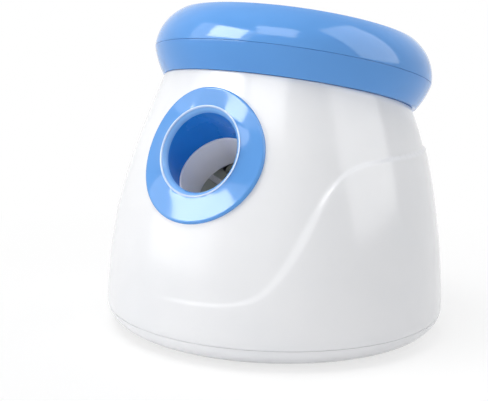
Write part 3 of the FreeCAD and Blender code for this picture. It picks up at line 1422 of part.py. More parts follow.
doc.recompute()
faults = [item.Name for item in doc.Objects
          if "Invalid" in item.State or "Error" in item.State]
if faults:
    raise SystemExit("failed objects: " + ", ".join(faults))
for node, item in PARTS.items():
    if item.Shape.isNull() or not item.Shape.isValid():
        raise SystemExit("bad shape: " + node)
os.makedirs("parts", exist_ok=True)
for node, item in PARTS.items():
    item.Shape.exportStep(f"parts/{node}.step")
print(f"{len(PARTS)} sub-parts written")
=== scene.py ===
import math

import bmesh
import bpy
import numpy as np
from mathutils import Matrix, Vector


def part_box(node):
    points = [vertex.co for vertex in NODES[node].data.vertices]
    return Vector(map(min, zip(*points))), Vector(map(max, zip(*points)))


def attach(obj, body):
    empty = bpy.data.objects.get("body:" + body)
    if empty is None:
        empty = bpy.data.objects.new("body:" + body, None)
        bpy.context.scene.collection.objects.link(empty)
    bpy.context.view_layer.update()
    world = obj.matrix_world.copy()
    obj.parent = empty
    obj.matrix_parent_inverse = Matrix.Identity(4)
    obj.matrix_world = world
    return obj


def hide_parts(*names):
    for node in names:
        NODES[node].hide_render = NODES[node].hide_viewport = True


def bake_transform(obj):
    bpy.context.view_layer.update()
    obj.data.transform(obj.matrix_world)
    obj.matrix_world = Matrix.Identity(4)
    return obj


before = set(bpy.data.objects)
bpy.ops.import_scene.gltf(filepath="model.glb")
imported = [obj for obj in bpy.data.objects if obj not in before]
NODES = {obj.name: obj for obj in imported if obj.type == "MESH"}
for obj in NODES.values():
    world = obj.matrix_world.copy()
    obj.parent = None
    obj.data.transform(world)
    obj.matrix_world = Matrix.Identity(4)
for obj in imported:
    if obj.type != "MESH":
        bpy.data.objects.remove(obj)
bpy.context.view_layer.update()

SCENE = bpy.context.scene
MM = 0.001                 # metres in a millimetre
TURN = 2 * math.pi


def linked(name, data):
    """A new object in the scene, from a mesh, a lamp or a camera."""
    made = bpy.data.objects.new(name, data)
    SCENE.collection.objects.link(made)
    return made


# ------------------------------------------------------------------ camera

IMAGE = (488.0, 401.0)
CAM_TURN = 32.002          # degrees round the object from straight in front
CAM_RISE = 9.189
CAM_AWAY = 0.778707
CAM_FOCAL = 1047.923       # pixels
CAM_ROLL = 1.582
CAM_AIM = (277.025, 175.023)   # where the aim point lands in the image
AIM = Vector((0.0, 0.0, 0.110))


def make_camera():
    """A camera aimed at the object, with the aim point away from the image's middle."""
    turn, rise, roll = (math.radians(a) for a in (CAM_TURN, CAM_RISE, CAM_ROLL))
    back = Vector((math.sin(turn) * math.cos(rise), -math.cos(turn) * math.cos(rise),
                   math.sin(rise)))
    right = Vector((0, 0, 1)).cross(back).normalized()
    up = back.cross(right)
    rolled_right = right * math.cos(roll) + up * math.sin(roll)
    rolled_up = up * math.cos(roll) - right * math.sin(roll)
    level = Matrix((rolled_right, rolled_up, back)).transposed()
    seen = Vector(((CAM_AIM[0] - IMAGE[0] / 2) / CAM_FOCAL,
                   -(CAM_AIM[1] - IMAGE[1] / 2) / CAM_FOCAL, -1.0)).normalized()
    swing = Vector((0, 0, -1)).rotation_difference(seen).to_matrix()
    data = bpy.data.cameras.new("photo_camera")
    data.sensor_fit = "HORIZONTAL"
    data.sensor_width = 36.0
    data.lens = CAM_FOCAL / IMAGE[0] * data.sensor_width
    data.clip_start = 0.01
    data.clip_end = 20.0
    camera = linked("photo_camera", data)
    turned = (level @ swing.transposed()).to_4x4()
    camera.matrix_world = Matrix.Translation(AIM + back * CAM_AWAY) @ turned
    SCENE.camera = camera


make_camera()

# ------------------------------------------------------------------ materials


def shader(name, **sockets):
    """A new material, its nodes and links, and its shader with some sockets set."""
    material = bpy.data.materials.new(name)
    material.use_nodes = True
    principled = material.node_tree.nodes["Principled BSDF"]
    for socket, value in sockets.items():
        principled.inputs[socket.replace("_", " ")].default_value = value
    return material, material.node_tree.nodes, material.node_tree.links, principled


def noise(nodes, links, place, scale, detail):
    """The output of a noise texture, scale in bumps per metre."""
    texture = nodes.new("ShaderNodeTexNoise")
    texture.inputs["Scale"].default_value = scale
    texture.inputs["Detail"].default_value = detail
    links.new(place, texture.inputs["Vector"])
    return texture.outputs["Fac"]


def ranged(nodes, links, value, start, end, low, high):
    """A value that goes from low to high while another goes from start to end."""
    spread = nodes.new("ShaderNodeMapRange")
    for socket, number in (("From Min", start), ("From Max", end),
                           ("To Min", low), ("To Max", high)):
        spread.inputs[socket].default_value = number
    links.new(value, spread.inputs["Value"])
    return spread.outputs["Result"]


def computed(nodes, links, operation, first, second):
    """The result of a Math node on two values."""
    maths = nodes.new("ShaderNodeMath")
    maths.operation = operation
    links.new(first, maths.inputs[0])
    links.new(second, maths.inputs[1])
    return maths.outputs["Value"]


def mixed_shaders(nodes, links, share, first, second, target):
    """Two shaders mixed by a share into a surface socket."""
    mix = nodes.new("ShaderNodeMixShader")
    links.new(share, mix.inputs["Fac"])
    links.new(first, mix.inputs[1])
    links.new(second, mix.inputs[2])
    links.new(mix.outputs["Shader"], target)


# noise keeps mostly between these two values, so they are spread to the full range
NOISE_LOW, NOISE_HIGH = 0.3, 0.7


def coloured_noise(nodes, links, place, scale, detail, colours, target):
    """Blotches of two near colours into a colour socket."""
    ramp = nodes.new("ShaderNodeValToRGB")
    stops = ramp.color_ramp.elements
    for stop, position, colour in zip(stops, (NOISE_LOW, NOISE_HIGH), colours):
        stop.position = position
        stop.color = (*colour, 1.0)
    links.new(noise(nodes, links, place, scale, detail), ramp.inputs["Fac"])
    links.new(ramp.outputs["Color"], target)


def ranged_noise(nodes, links, place, scale, detail, low, high, target):
    """Noise spread between two numbers into a number socket."""
    value = noise(nodes, links, place, scale, detail)
    links.new(ranged(nodes, links, value, NOISE_LOW, NOISE_HIGH, low, high), target)


def bumped(nodes, links, place, scale, detail, height, principled, stretch=None):
    """Fine relief, its height in metres; stretch squeezes the grain along an axis."""
    if stretch:
        mapping = nodes.new("ShaderNodeMapping")
        mapping.inputs["Scale"].default_value = stretch
        links.new(place, mapping.inputs["Vector"])
        place = mapping.outputs["Vector"]
    bump = nodes.new("ShaderNodeBump")
    bump.inputs["Strength"].default_value = 1.0
    bump.inputs["Distance"].default_value = height
    links.new(noise(nodes, links, place, scale, detail), bump.inputs["Height"])
    links.new(bump.outputs["Normal"], principled.inputs["Normal"])


def moulded(name, colours, rough, grain, height, **sockets):
    """Plastic, rubber and board: two near colours, uneven gloss and a fine relief."""
    material, nodes, links, principled = shader(name, **sockets)
    place = nodes.new("ShaderNodeTexCoord").outputs["Object"]
    coloured_noise(nodes, links, place, 14.0, 3.0, colours, principled.inputs["Base Color"])
    ranged_noise(nodes, links, place, 55.0, 4.0, *rough, principled.inputs["Roughness"])
    bumped(nodes, links, place, grain, 3.0, height, principled)
    return material


def brushed(name, colours, rough):
    """Turned or drawn metal with fine lines across it."""
    material, nodes, links, principled = shader(name, Metallic=1.0)
    place = nodes.new("ShaderNodeTexCoord").outputs["Object"]
    coloured_noise(nodes, links, place, 60.0, 4.0, colours, principled.inputs["Base Color"])
    ranged_noise(nodes, links, place, 240.0, 3.0, *rough, principled.inputs["Roughness"])
    bumped(nodes, links, place, 500.0, 2.0, 0.00002, principled, (1.0, 1.0, 6.0))
    return material


PLASTIC_IOR = 1.48

FINISH = {
    "white_shell": moulded("white_shell", ((0.80, 0.81, 0.83), (0.84, 0.845, 0.86)),
                           (0.14, 0.19), 260.0, 0.000004, IOR=PLASTIC_IOR),
    "blue_gloss": moulded("blue_gloss", ((0.088, 0.300, 0.71), (0.098, 0.318, 0.74)),
                          (0.08, 0.13), 240.0, 0.000004, IOR=PLASTIC_IOR),
    # painted light: a paler copy of blue_gloss for the port's rolled lip, standing in for the
    # light that catches the roll
    "lip_painted_light": moulded("lip_painted_light", ((0.17, 0.41, 0.80), (0.19, 0.43, 0.83)),
                        (0.10, 0.16), 240.0, 0.000004, IOR=PLASTIC_IOR),
    # painted highlight: a near-white copy of blue_gloss for the bead on the port's crest
    "bead_painted_highlight": moulded("bead_painted_highlight", ((0.42, 0.56, 0.82), (0.48, 0.61, 0.86)),
                         (0.08, 0.14), 240.0, 0.000004, IOR=PLASTIC_IOR),
    # painted shade: a deeper, darker copy of blue_gloss for the recessed port throat
    "throat_painted_shade": moulded("throat_painted_shade", ((0.014, 0.200, 0.66), (0.020, 0.225, 0.71)),
                           (0.20, 0.30), 240.0, 0.000006, IOR=PLASTIC_IOR,
                           Specular_IOR_Level=0.3),
    "light_grey": moulded("light_grey", ((0.90, 0.88, 0.88), (0.94, 0.92, 0.92)),
                          (0.36, 0.48), 900.0, 0.00002),
    "grey_green": moulded("grey_green", ((0.52, 0.53, 0.46), (0.59, 0.60, 0.52)),
                          (0.40, 0.52), 900.0, 0.00003),
    "dark_grey": moulded("dark_grey", ((0.060, 0.058, 0.060), (0.085, 0.083, 0.082)),
                         (0.38, 0.52), 1100.0, 0.00004),
    "nylon": moulded("nylon", ((0.76, 0.73, 0.65), (0.82, 0.79, 0.72)),
                     (0.42, 0.55), 700.0, 0.00002, Subsurface_Weight=0.08),
    "black_rubber": moulded("black_rubber", ((0.018, 0.018, 0.019), (0.034, 0.033, 0.033)),
                            (0.62, 0.8), 1500.0, 0.00006),
    "steel": brushed("steel", ((0.56, 0.57, 0.59), (0.66, 0.66, 0.67)), (0.24, 0.38)),
    "brass": brushed("brass", ((0.70, 0.50, 0.22), (0.80, 0.60, 0.30)), (0.22, 0.34)),
    "board_green": moulded("board_green", ((0.020, 0.150, 0.065), (0.030, 0.200, 0.090)),
                           (0.28, 0.40), 600.0, 0.00003, Coat_Weight=0.3),
    "clear_lens": moulded("clear_lens", ((0.76, 0.82, 0.88), (0.86, 0.90, 0.94)),
                          (0.18, 0.28), 300.0, 0.00001, Transmission_Weight=0.35, IOR=1.49),
    "cell_wrap": moulded("cell_wrap", ((0.10, 0.10, 0.12), (0.15, 0.15, 0.17)),
                         (0.22, 0.34), 420.0, 0.00003, Coat_Weight=0.2),
}

# every CAD node that stays takes the finish of its own slot
for node in NODES.values():
    for holder in node.material_slots:
        holder.material = FINISH[holder.material.name.split(".")[0]]

# ------------------------------------------------------------------ mesh helpers

CREASE = 32.0              # degrees


def creased(mesh, degrees=CREASE):
    """Edges sharper than an angle stay crisp."""
    mesh.set_sharp_from_angle(angle=math.radians(degrees))


def raw_mesh(name, verts, faces, slot):
    """A smooth mesh from points in millimetres, with a slot's finish."""
    mesh = bpy.data.meshes.new(name)
    mesh.from_pydata([tuple(v) for v in np.asarray(verts) * MM], [], faces)
    mesh.shade_smooth()
    mesh.materials.append(FINISH[slot])
    return mesh


def piece(name, verts, faces, body, slot, *nodes, crease=CREASE):
    """A mesh in millimetres made into a named piece that rides on a body."""
    mesh = raw_mesh(name, verts, faces, slot)
    form = bmesh.new()
    form.from_mesh(mesh)
    bmesh.ops.recalc_face_normals(form, faces=form.faces)
    form.to_mesh(mesh)
    form.free()
    creased(mesh, crease)
    made = linked(name, mesh)
    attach(made, body)
    if nodes:
        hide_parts(*nodes)
    return made


def quads(rows, around, closed=True, start=0):
    """Faces between rings of points laid one after another."""
    faces = []
    for row in range(rows if closed else rows - 1):
        upper = (row + 1) % rows
        for step in range(around):
            after = (step + 1) % around
            faces.append((start + row * around + step, start + row * around + after,
                          start + upper * around + after, start + upper * around + step))
    return faces


def ringed_piece(name, rings, body, slot, *nodes, crease=CREASE):
    """A closed skin over rings of points that follow one another round a section."""
    return piece(name, np.concatenate(rings), quads(len(rings), len(rings[0])), body, slot,
                 *nodes, crease=crease)


def arc(start, end, radius, side, steps):
    """Points along an arc from start to end, the centre left (+1) or right (-1) of the way."""
    start, end = np.array(start, float), np.array(end, float)
    half = (end - start) / 2
    reach = math.hypot(*half)
    across = np.array((-half[1], half[0])) / reach
    centre = start + half + side * math.sqrt(max(radius ** 2 - reach ** 2, 0.0)) * across
    first = math.atan2(*(start - centre)[::-1])
    sweep = (math.atan2(*(end - centre)[::-1]) - first + math.pi) % TURN - math.pi
    angles = [first + sweep * n / steps for n in range(steps + 1)]
    return [tuple(centre + radius * np.array((math.cos(a), math.sin(a)))) for a in angles]


CORNER_LEAST, CORNER_STEPS = 24.0, 4   # degrees, and the sides of one rounding
CORNER_SHARE = 0.45        # of a side, so that two roundings on one side stay apart


def softened(points, radius):
    """A closed outline with each corner sharper than the least degrees rounded off."""
    points = [np.array(p, float) for p in points]
    rounded = []
    for before, corner, after in zip(points[-1:] + points[:-1], points, points[1:] + points[:1]):
        back, ahead = before - corner, after - corner
        far_back, far_ahead = math.hypot(*back), math.hypot(*ahead)
        cosine = float(np.dot(back, ahead)) / (far_back * far_ahead)
        turn = math.pi - math.acos(max(-1.0, min(1.0, cosine)))
        if math.degrees(turn) < CORNER_LEAST:
            rounded.append(tuple(corner))
            continue
        inset = min(radius * math.tan(turn / 2), CORNER_SHARE * far_back,
                    CORNER_SHARE * far_ahead)
        first, last = corner + back / far_back * inset, corner + ahead / far_ahead * inset
        for n in range(CORNER_STEPS + 1):
            t = n / CORNER_STEPS
            rounded.append(tuple((1 - t) ** 2 * first + 2 * t * (1 - t) * corner + t * t * last))
    return rounded


def circle(around):
    """Even angles round a full turn."""
    return np.linspace(0.0, TURN, around, endpoint=False)


def turned(profile, origin, side, up, axis, around):
    """Rings of points: an outline of (radius, height) turned about an axis."""
    origin, side, up, axis = (np.array(v, float) for v in (origin, side, up, axis))
    spin = circle(around)
    ring = np.outer(np.cos(spin), side) + np.outer(np.sin(spin), up)
    return np.concatenate([origin + radius * ring + height * axis for radius, height in profile])


def turned_piece(name, profiles, place, body, slot, *nodes, around):
    """One piece from closed outlines, each turned about the axis of a place."""
    verts, faces, start = [], [], 0
    for profile in profiles:
        faces += quads(len(profile), around, start=start)
        verts.append(turned(profile, *place, around=around))
        start += len(verts[-1])
    return piece(name, np.concatenate(verts), faces, body, slot, *nodes)


def cut_away(made, *tools):
    """Boolean difference, applied; the tools are removed."""
    for tool in tools:
        step = made.modifiers.new("opening", "BOOLEAN")
        step.operation = "DIFFERENCE"
        step.solver = "EXACT"
        step.object = tool
    applied = bpy.data.meshes.new_from_object(
        made.evaluated_get(bpy.context.evaluated_depsgraph_get()))
    made.modifiers.clear()
    made.data = applied
    creased(applied)
    for tool in tools:
        bpy.data.objects.remove(tool)


def cutter(form, place):
    """A tool for cut_away: a form moved to its place."""
    form.transform(place)
    mesh = bpy.data.meshes.new("cutter")
    form.to_mesh(mesh)
    form.free()
    return linked("cutter", mesh)


def rod_tool(radius, origin, direction, length, around=96):
    """A cutter: a round bar from origin along a direction, in millimetres."""
    direction = Vector(direction).normalized()
    form = bmesh.new()
    bmesh.ops.create_cone(form, cap_ends=True, segments=around, radius1=radius * MM,
                          radius2=radius * MM, depth=length * MM)
    middle = (Vector(origin) + direction * length / 2) * MM
    turn = Vector((0, 0, 1)).rotation_difference(direction).to_matrix().to_4x4()
    return cutter(form, Matrix.Translation(middle) @ turn)


def slab_tool(low, high):
    """A cutter: an upright block between two corners, in millimetres."""
    form = bmesh.new()
    bmesh.ops.create_cube(form, size=1.0)
    size = [(b - a) * MM for a, b in zip(low, high)]
    middle = [(a + b) / 2 * MM for a, b in zip(low, high)]
    return cutter(form, Matrix.Translation(middle) @ Matrix.Diagonal((*size, 1.0)))


def corners(x, y):
    """Four places, one in each quarter."""
    return [(sx * x, sy * y) for sx in (-1, 1) for sy in (-1, 1)]


# ------------------------------------------------------------------ the drum's form

# sections from the base to the neck: level, radius, set-back and lean of each
LEVELS = np.array((20.0, 45.0, 65.0, 85.0, 106.0, 127.0, 149.0, 170.0))
RADII = 125.0 - np.array((0.0, 1.6, 3.88, 7.1, 11.53, 17.1, 24.19, 32.2))
BACKS = np.array((0.0, 0.0, 0.42, 1.7, 4.27, 7.6, 11.04, 13.4))
LEANS = np.radians((0.0, 0.5, 1.55, 3.0, 4.83, 7.0, 9.7, 12.75))
BASE_LEVEL, NECK_LEVEL = 20.0, 170.0
WALL = 2.5


def eased(level, knots):
    """A smooth line through the section values."""
    slopes = np.gradient(knots, LEVELS)
    slopes[0] *= 0.3       # the drum starts nearly upright at the base
    level = np.clip(level, LEVELS[0], LEVELS[-1])
    spot = np.clip(np.searchsorted(LEVELS, level, side="right") - 1, 0, len(LEVELS) - 2)
    width = LEVELS[spot + 1] - LEVELS[spot]
    t = (level - LEVELS[spot]) / width
    return ((2 * t ** 3 - 3 * t ** 2 + 1) * knots[spot] + (t ** 3 - 2 * t ** 2 + t) * width
            * slopes[spot] + (3 * t ** 2 - 2 * t ** 3) * knots[spot + 1]
            + (t ** 3 - t ** 2) * width * slopes[spot + 1])


def drum_points(azimuth, level, grown):
    """Surface points, the azimuth from the front towards +X; arrays of one shape."""
    radius = eased(level, RADII) + grown
    back, lean = eased(level, BACKS), eased(level, LEANS)
    return np.stack((radius * np.sin(azimuth), back - radius * np.cos(azimuth) * np.cos(lean),
                     level + radius * np.cos(azimuth) * np.sin(lean)), axis=-1)


def off_drum(points):
    """How far points stand out of the drum's surface."""
    x, y, z = points[..., 0], points[..., 1], points[..., 2]
    level = z.copy()
    for _ in range(30):        # each round brings the section's level nearer
        level = np.clip(z + (y - eased(level, BACKS)) * np.tan(eased(level, LEANS)),
                        BASE_LEVEL, NECK_LEVEL)
    lean = eased(level, LEANS)
    along = (y - eased(level, BACKS)) * np.cos(lean) - (z - level) * np.sin(lean)
    return np.hypot(x, along) - eased(level, RADII)


def onto_drum(points, direction, stand):
    """Points moved along a direction until they stand off the drum by a given distance."""
    direction = np.array(direction, float)
    points = np.array(points, float)
    for _ in range(14):
        points = points - (off_drum(points) - stand)[..., None] * direction * 0.9
    return points


# the sweeping step, seen from the side: y and z of its line
STEP_LOW, STEP_HIGH, STEP_DEPTH = 41.5, 134.2, 2.0
STEP_BENDS = [(-185.0, 41.5), (-150.0, 41.5), (-134.0, 41.3), (-123.3, 41.8), (-114.5, 45.0),
              (-107.6, 52.4), (-100.8, 64.1), (-92.6, 79.4), (-82.4, 97.9), (-71.5, 114.2),
              (-59.5, 125.8), (-45.0, 131.8), (-22.0, 134.0), (4.0, 134.3), (60.0, 134.2),
              (160.0, 134.2), (200.0, 134.2)]
BAND_NARROW, BAND_SWELL = 1.7, 2.0   # the slope's width at its ends, and what it gains between
BAND_BELOW = 0.45                    # share of the slope that lies below the line
BAND_SOFT = 0.25                     # how far the slope's two edges are rounded
STEP_FADE = math.radians(8.0)        # how far past the middle of the front the step reaches


def flowing(points, steps):
    """A smooth line through given points (Catmull-Rom), the end points left out."""
    points = [np.array(p) for p in points]
    line = []
    for before, start, end, after in zip(points, points[1:], points[2:], points[3:]):
        for n in range(steps):
            t = n / steps
            line.append(0.5 * (2 * start + (end - before) * t
                               + (2 * before - 5 * start + 4 * end - after) * t * t
                               + (3 * start - 3 * end + after - before) * t ** 3))
    return line + [points[-2]]


STEP_LINE = flowing(STEP_BENDS, 6)


def step_depth(azimuth):
    """Full depth of the step round the drum: only the +X flank has it."""
    return STEP_DEPTH * np.clip(np.sin(azimuth + STEP_FADE), 0.0, 1.0)


def step_inset(azimuth, points):
    """How deep the surface is set in above the sweeping step."""
    spots = points[..., 1:]
    nearest = np.full(spots.shape[:-1], 1e9)
    for start, end in zip(STEP_LINE, STEP_LINE[1:]):
        run = end - start
        share = np.clip(((spots - start) @ run) / (run @ run), 0.0, 1.0)
        gap = np.linalg.norm(spots - start - share[..., None] * run, axis=-1)
        nearest = np.minimum(nearest, gap)
    line = np.array(STEP_LINE)
    above = spots[..., 1] > np.interp(spots[..., 0], line[:, 0], line[:, 1])
    climb = np.clip((spots[..., 1] - STEP_LOW) / (STEP_HIGH - STEP_LOW), 0.0, 1.0)
    band = BAND_NARROW + BAND_SWELL * np.sin(math.pi * climb)
    t = np.clip((np.where(above, nearest, -nearest) + BAND_BELOW * band) / band, 0.0, 1.0)
    t = (1 - BAND_SOFT) * t + BAND_SOFT * t * t * (3 - 2 * t)
    return step_depth(azimuth) * t


# the rounded bottom edge, shared by the housing's foot and the tray
EDGE_ROUND, EDGE_CENTRE, TRAY_TOP = 18.0, 107.0, 15.0


def edge_radius(level):
    """Radius of the rounded bottom edge at a level."""
    return EDGE_CENTRE + math.sqrt(EDGE_ROUND ** 2 - (BASE_LEVEL - level) ** 2)


# ------------------------------------------------------------------ frames of the parts


def slanted(degrees):
    """Outward and upward directions of a line that rises to the front."""
    a = math.radians(degrees)
    return (0, -math.cos(a), math.sin(a)), (0, math.sin(a), math.cos(a))


SIDE = (1, 0, 0)
PORT_RISE, LAUNCH_RISE = 21.4, 42.0   # degrees above level
PORT_OUT, PORT_UP = slanted(PORT_RISE)
LAUNCH, RAISED = slanted(LAUNCH_RISE)
NECK_LEAN = math.radians(12.75)
NECK = ((0.0, 13.4, NECK_LEVEL), SIDE, (0, math.cos(NECK_LEAN), -math.sin(NECK_LEAN)),
        (0, math.sin(NECK_LEAN), math.cos(NECK_LEAN)))
PORT = np.array((0.0, -97.903, 138.2))
PORT_BEND = 4.3            # along the port's axis, where the throat turns into the barrel
OVER = PORT_BEND * math.sin(math.radians(LAUNCH_RISE - PORT_RISE))
UPRIGHT = (SIDE, (0, 1, 0), (0, 0, 1))
REARWARD = (SIDE, (0, 0, 1), (0, 1, 0))


def in_barrel(x, depth, rise):
    """A point by its side, its depth down the barrel and its height over the barrel's axis."""
    return (PORT + x * np.array(SIDE) - depth * np.array(LAUNCH)
            + (rise + OVER) * np.array(RAISED))


def down_barrel(depth):
    """Place of a turned piece: heights run back down the barrel from a depth."""
    return in_barrel(0, depth, 0), SIDE, RAISED, tuple(-c for c in LAUNCH)


# ------------------------------------------------------------------ housing

FOOT_LEVELS = (15.6, 16.4, 17.3, 18.2, 19.1)
INSIDE_LEVELS = (167.5, 160.0, 150.0, 138.0, 125.0, 110.0, 95.0, 80.0, 65.0, 50.0, 35.0, 20.0)
DECK_WIDTH = 40.8          # how far the neck's deck reaches in from the drum
PORT_HOLE, JACK_HOLE = 39.6, 5.4
JACK = (0, 90, 42)
PANEL_HOLE = ((-31.0, 90.0, 55.0), (31.0, 150.0, 85.0))


def housing_rings():
    """The drum's outside, its neck deck and its inside, as rings along one closed section."""
    # closer together where the step runs
    azimuth = np.radians(np.concatenate((np.arange(-180.0, -14.0, 2.0),
                                         np.arange(-14.0, 134.0, 0.7),
                                         np.arange(134.0, 180.0, 2.0))))
    flat = np.ones_like(azimuth)

    def level_ring(radius, level):
        return np.stack((radius * np.sin(azimuth), -radius * np.cos(azimuth), level * flat),
                        axis=-1)

    def drum_ring(level, grown=0.0):
        return drum_points(azimuth, level * flat, grown)

    rings = [level_ring(edge_radius(level), level) for level in FOOT_LEVELS]
    rings += [drum_ring(level, -step_inset(azimuth, drum_ring(level)))
              for level in np.arange(BASE_LEVEL, NECK_LEVEL - 0.4, 1.0)]
    rings += [drum_ring(NECK_LEVEL - drop, -less - step_depth(azimuth))
              for drop, less in ((0.5, 0.0), (0.1, 0.15), (0.0, 0.6))]
    rings += [drum_ring(NECK_LEVEL, -DECK_WIDTH), drum_ring(NECK_LEVEL - WALL, -DECK_WIDTH - 0.8)]
    rings += [drum_ring(level, -WALL) for level in INSIDE_LEVELS]
    inner = edge_radius(15.5) - WALL
    rings += [level_ring(inner, 19.4), level_ring(inner, 15.2),
              level_ring(edge_radius(15.2) - 0.25, 15.2)]
    return rings


housing = ringed_piece("housing_shell", housing_rings(), "case", "white_shell", "main_housing")
cut_away(housing,
         rod_tool(PORT_HOLE, PORT - 60.0 * np.array(PORT_OUT), PORT_OUT, 80.0),
         slab_tool(*PANEL_HOLE),
         rod_tool(JACK_HOLE, JACK, (0, 1, 0), 60.0, 48))

# ------------------------------------------------------------------ base tray

TRAY = softened(
    [(0.5, 2.0)] + arc((EDGE_CENTRE, 2.0), (edge_radius(TRAY_TOP), TRAY_TOP), EDGE_ROUND, 1, 18)
    + arc((edge_radius(TRAY_TOP) - WALL, TRAY_TOP), (EDGE_CENTRE, 4.5), EDGE_ROUND - WALL, -1, 10)
    + [(0.5, 4.5)], 0.3)
FOOT_PLACE = 65.054        # along X and along Y
FOOT_POCKET = 9.2
CASE_SCREWS = (82.9, 55.92)
SCREW_HOLE, HEAD_HOLE = 1.7, 3.0
FRAME_SCREW_SIDE, FRAME_SCREW_ROWS = 51.2, (-44.0, 18.0)
DOOR_HALF, DOOR_FRONT, DOOR_PLAY = 53.6, 32.0, 0.4

tray = turned_piece("tray_shell", [TRAY], ((0, 0, 0), *UPRIGHT), "case", "white_shell",
                    "base_tray", around=240)
door_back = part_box("battery_door")[1][1] / MM + DOOR_PLAY
cut_away(tray,
         slab_tool((-DOOR_HALF, DOOR_FRONT, 1.0), (DOOR_HALF, door_back, 6.0)),
         *[rod_tool(FOOT_POCKET, (x, y, 1.5), (0, 0, 1), 1.3)
           for x, y in corners(FOOT_PLACE, FOOT_PLACE)],
         *[rod_tool(radius, (x, y, 1.0), (0, 0, 1), deep, 48)
           for radius, deep in ((SCREW_HOLE, 5.0), (HEAD_HOLE, 2.7))
           for x, y in corners(*CASE_SCREWS)],
         *[rod_tool(SCREW_HOLE, (sx * FRAME_SCREW_SIDE, y, 1.0), (0, 0, 1), 5.0, 48)
           for sx in (-1, 1) for y in FRAME_SCREW_ROWS])

# ------------------------------------------------------------------ collar and hopper

# outlines as (radius, height) on the neck's leaning axis
LOWER = softened(
    arc((94.0, 0.2), (102.6, 18.92), 60.0, 1, 16)
    + arc((100.1, 18.92), (92.8, 2.7), 57.5, -1, 8) + [(84.0, 2.7), (84.0, 0.2)], 0.3)
turned_piece("collar_ring", [LOWER], NECK, "case", "blue_gloss", "collar_lower", around=240)

CROWN = softened(
    arc((102.58, 19.08), (88.9, 46.6), 32.4, 1, 28)
    + arc((88.9, 46.6), (82.5, 46.0), 4.5, 1, 10)[1:]
    + arc((82.5, 46.0), (31.0, -3.0), 64.0, -1, 30)[1:] + [(31.0, -22.0), (33.5, -22.0)]
    + arc((33.5, -5.0), (84.1, 41.2), 66.5, 1, 16)
    + arc((87.9, 42.0), (100.1, 19.08), 29.9, -1, 12), 0.3)
LAP = softened([(97.2, 16.5), (99.0, 16.5), (99.0, 31.0), (97.2, 31.0)], 0.3)
turned_piece("hopper_crown", [CROWN, LAP], NECK, "case", "blue_gloss", "collar_upper",
             around=240)

# ------------------------------------------------------------------ launch port

SPIN = circle(192)
CREST, THROAT, FLANGE, FLANGE_DROP = 31.2, 27.5, 46.7, 2.8
FLAT_EDGE, PROUD = 45.7, 1.45        # where the flange's flat ends, and its height there
FLANGE_ROWS, FLANGE_SWELL = 16, 0.72
BEAD_STEPS, LIP_STEPS = 8, 9
THROAT_SHARES = (0.2, 0.4, 0.6, 0.8)
THROAT_PULL = 9.0                    # how strongly the throat keeps to its two directions
THROAT_TURN, THROAT_END = 12.5, 25.0   # depths where it has turned, and where it ends


def port_circle(radius, drop, out):
    """A circle round the port's axis, set down and moved out along it."""
    return (PORT + np.outer(radius * np.cos(SPIN), SIDE)
            + np.outer(radius * np.sin(SPIN) - drop, PORT_UP)
            + np.outer(out * np.ones_like(SPIN), PORT_OUT))


def flange_circle(radius, stand):
    """A circle of the flange, laid on the drum."""
    share = (radius - CREST) / (FLANGE - CREST)
    return onto_drum(port_circle(radius, FLANGE_DROP * share, 0.0), PORT_OUT, stand)


def barrel_circle(radius, depth):
    """A circle round the barrel's axis at a depth."""
    return (in_barrel(0, depth, 0) + np.outer(radius * np.cos(SPIN), SIDE)
            + np.outer(radius * np.sin(SPIN), RAISED))


def flange_rings():
    """The flange's edge on the drum, and its face ruled from there to the bead."""
    rings = [flange_circle(radius, stand) for radius, stand in
             ((46.4, -1.1), (46.85, -0.2), (46.85, 0.45), (46.7, 0.9), (46.3, 1.25),
              (FLAT_EDGE, PROUD))]
    drop = FLANGE_DROP * (FLAT_EDGE - CREST) / (FLANGE - CREST)
    height = (rings[-1] - port_circle(FLAT_EDGE, drop, 0.0)) @ np.array(PORT_OUT)
    for share in np.linspace(0.96, 0.04, FLANGE_ROWS):
        rings.append(port_circle(CREST + (FLAT_EDGE - CREST) * share, drop * share,
                                 height * share ** FLANGE_SWELL))
    return rings


def throat_rings(first):
    """The inside of the throat from the lip's last ring, and back up on its outside."""
    last = barrel_circle(THROAT, THROAT_TURN)
    rings = [(2 * t ** 3 - 3 * t ** 2 + 1) * first + (3 * t ** 2 - 2 * t ** 3) * last
             - (t ** 3 - 2 * t ** 2 + t) * THROAT_PULL * np.array(PORT_OUT)
             - (t ** 3 - t ** 2) * THROAT_PULL * np.array(LAUNCH) for t in THROAT_SHARES]
    rings += [last, barrel_circle(THROAT, 18.0), barrel_circle(THROAT, THROAT_END - 0.4)]
    return rings, [barrel_circle(THROAT + 0.5, THROAT_END),
                   barrel_circle(THROAT + 2.5, THROAT_END), barrel_circle(THROAT + 2.5, 14.0),
                   port_circle(36.0, 0.0, -9.0), flange_circle(39.0, -3.0),
                   flange_circle(43.0, -1.4)]


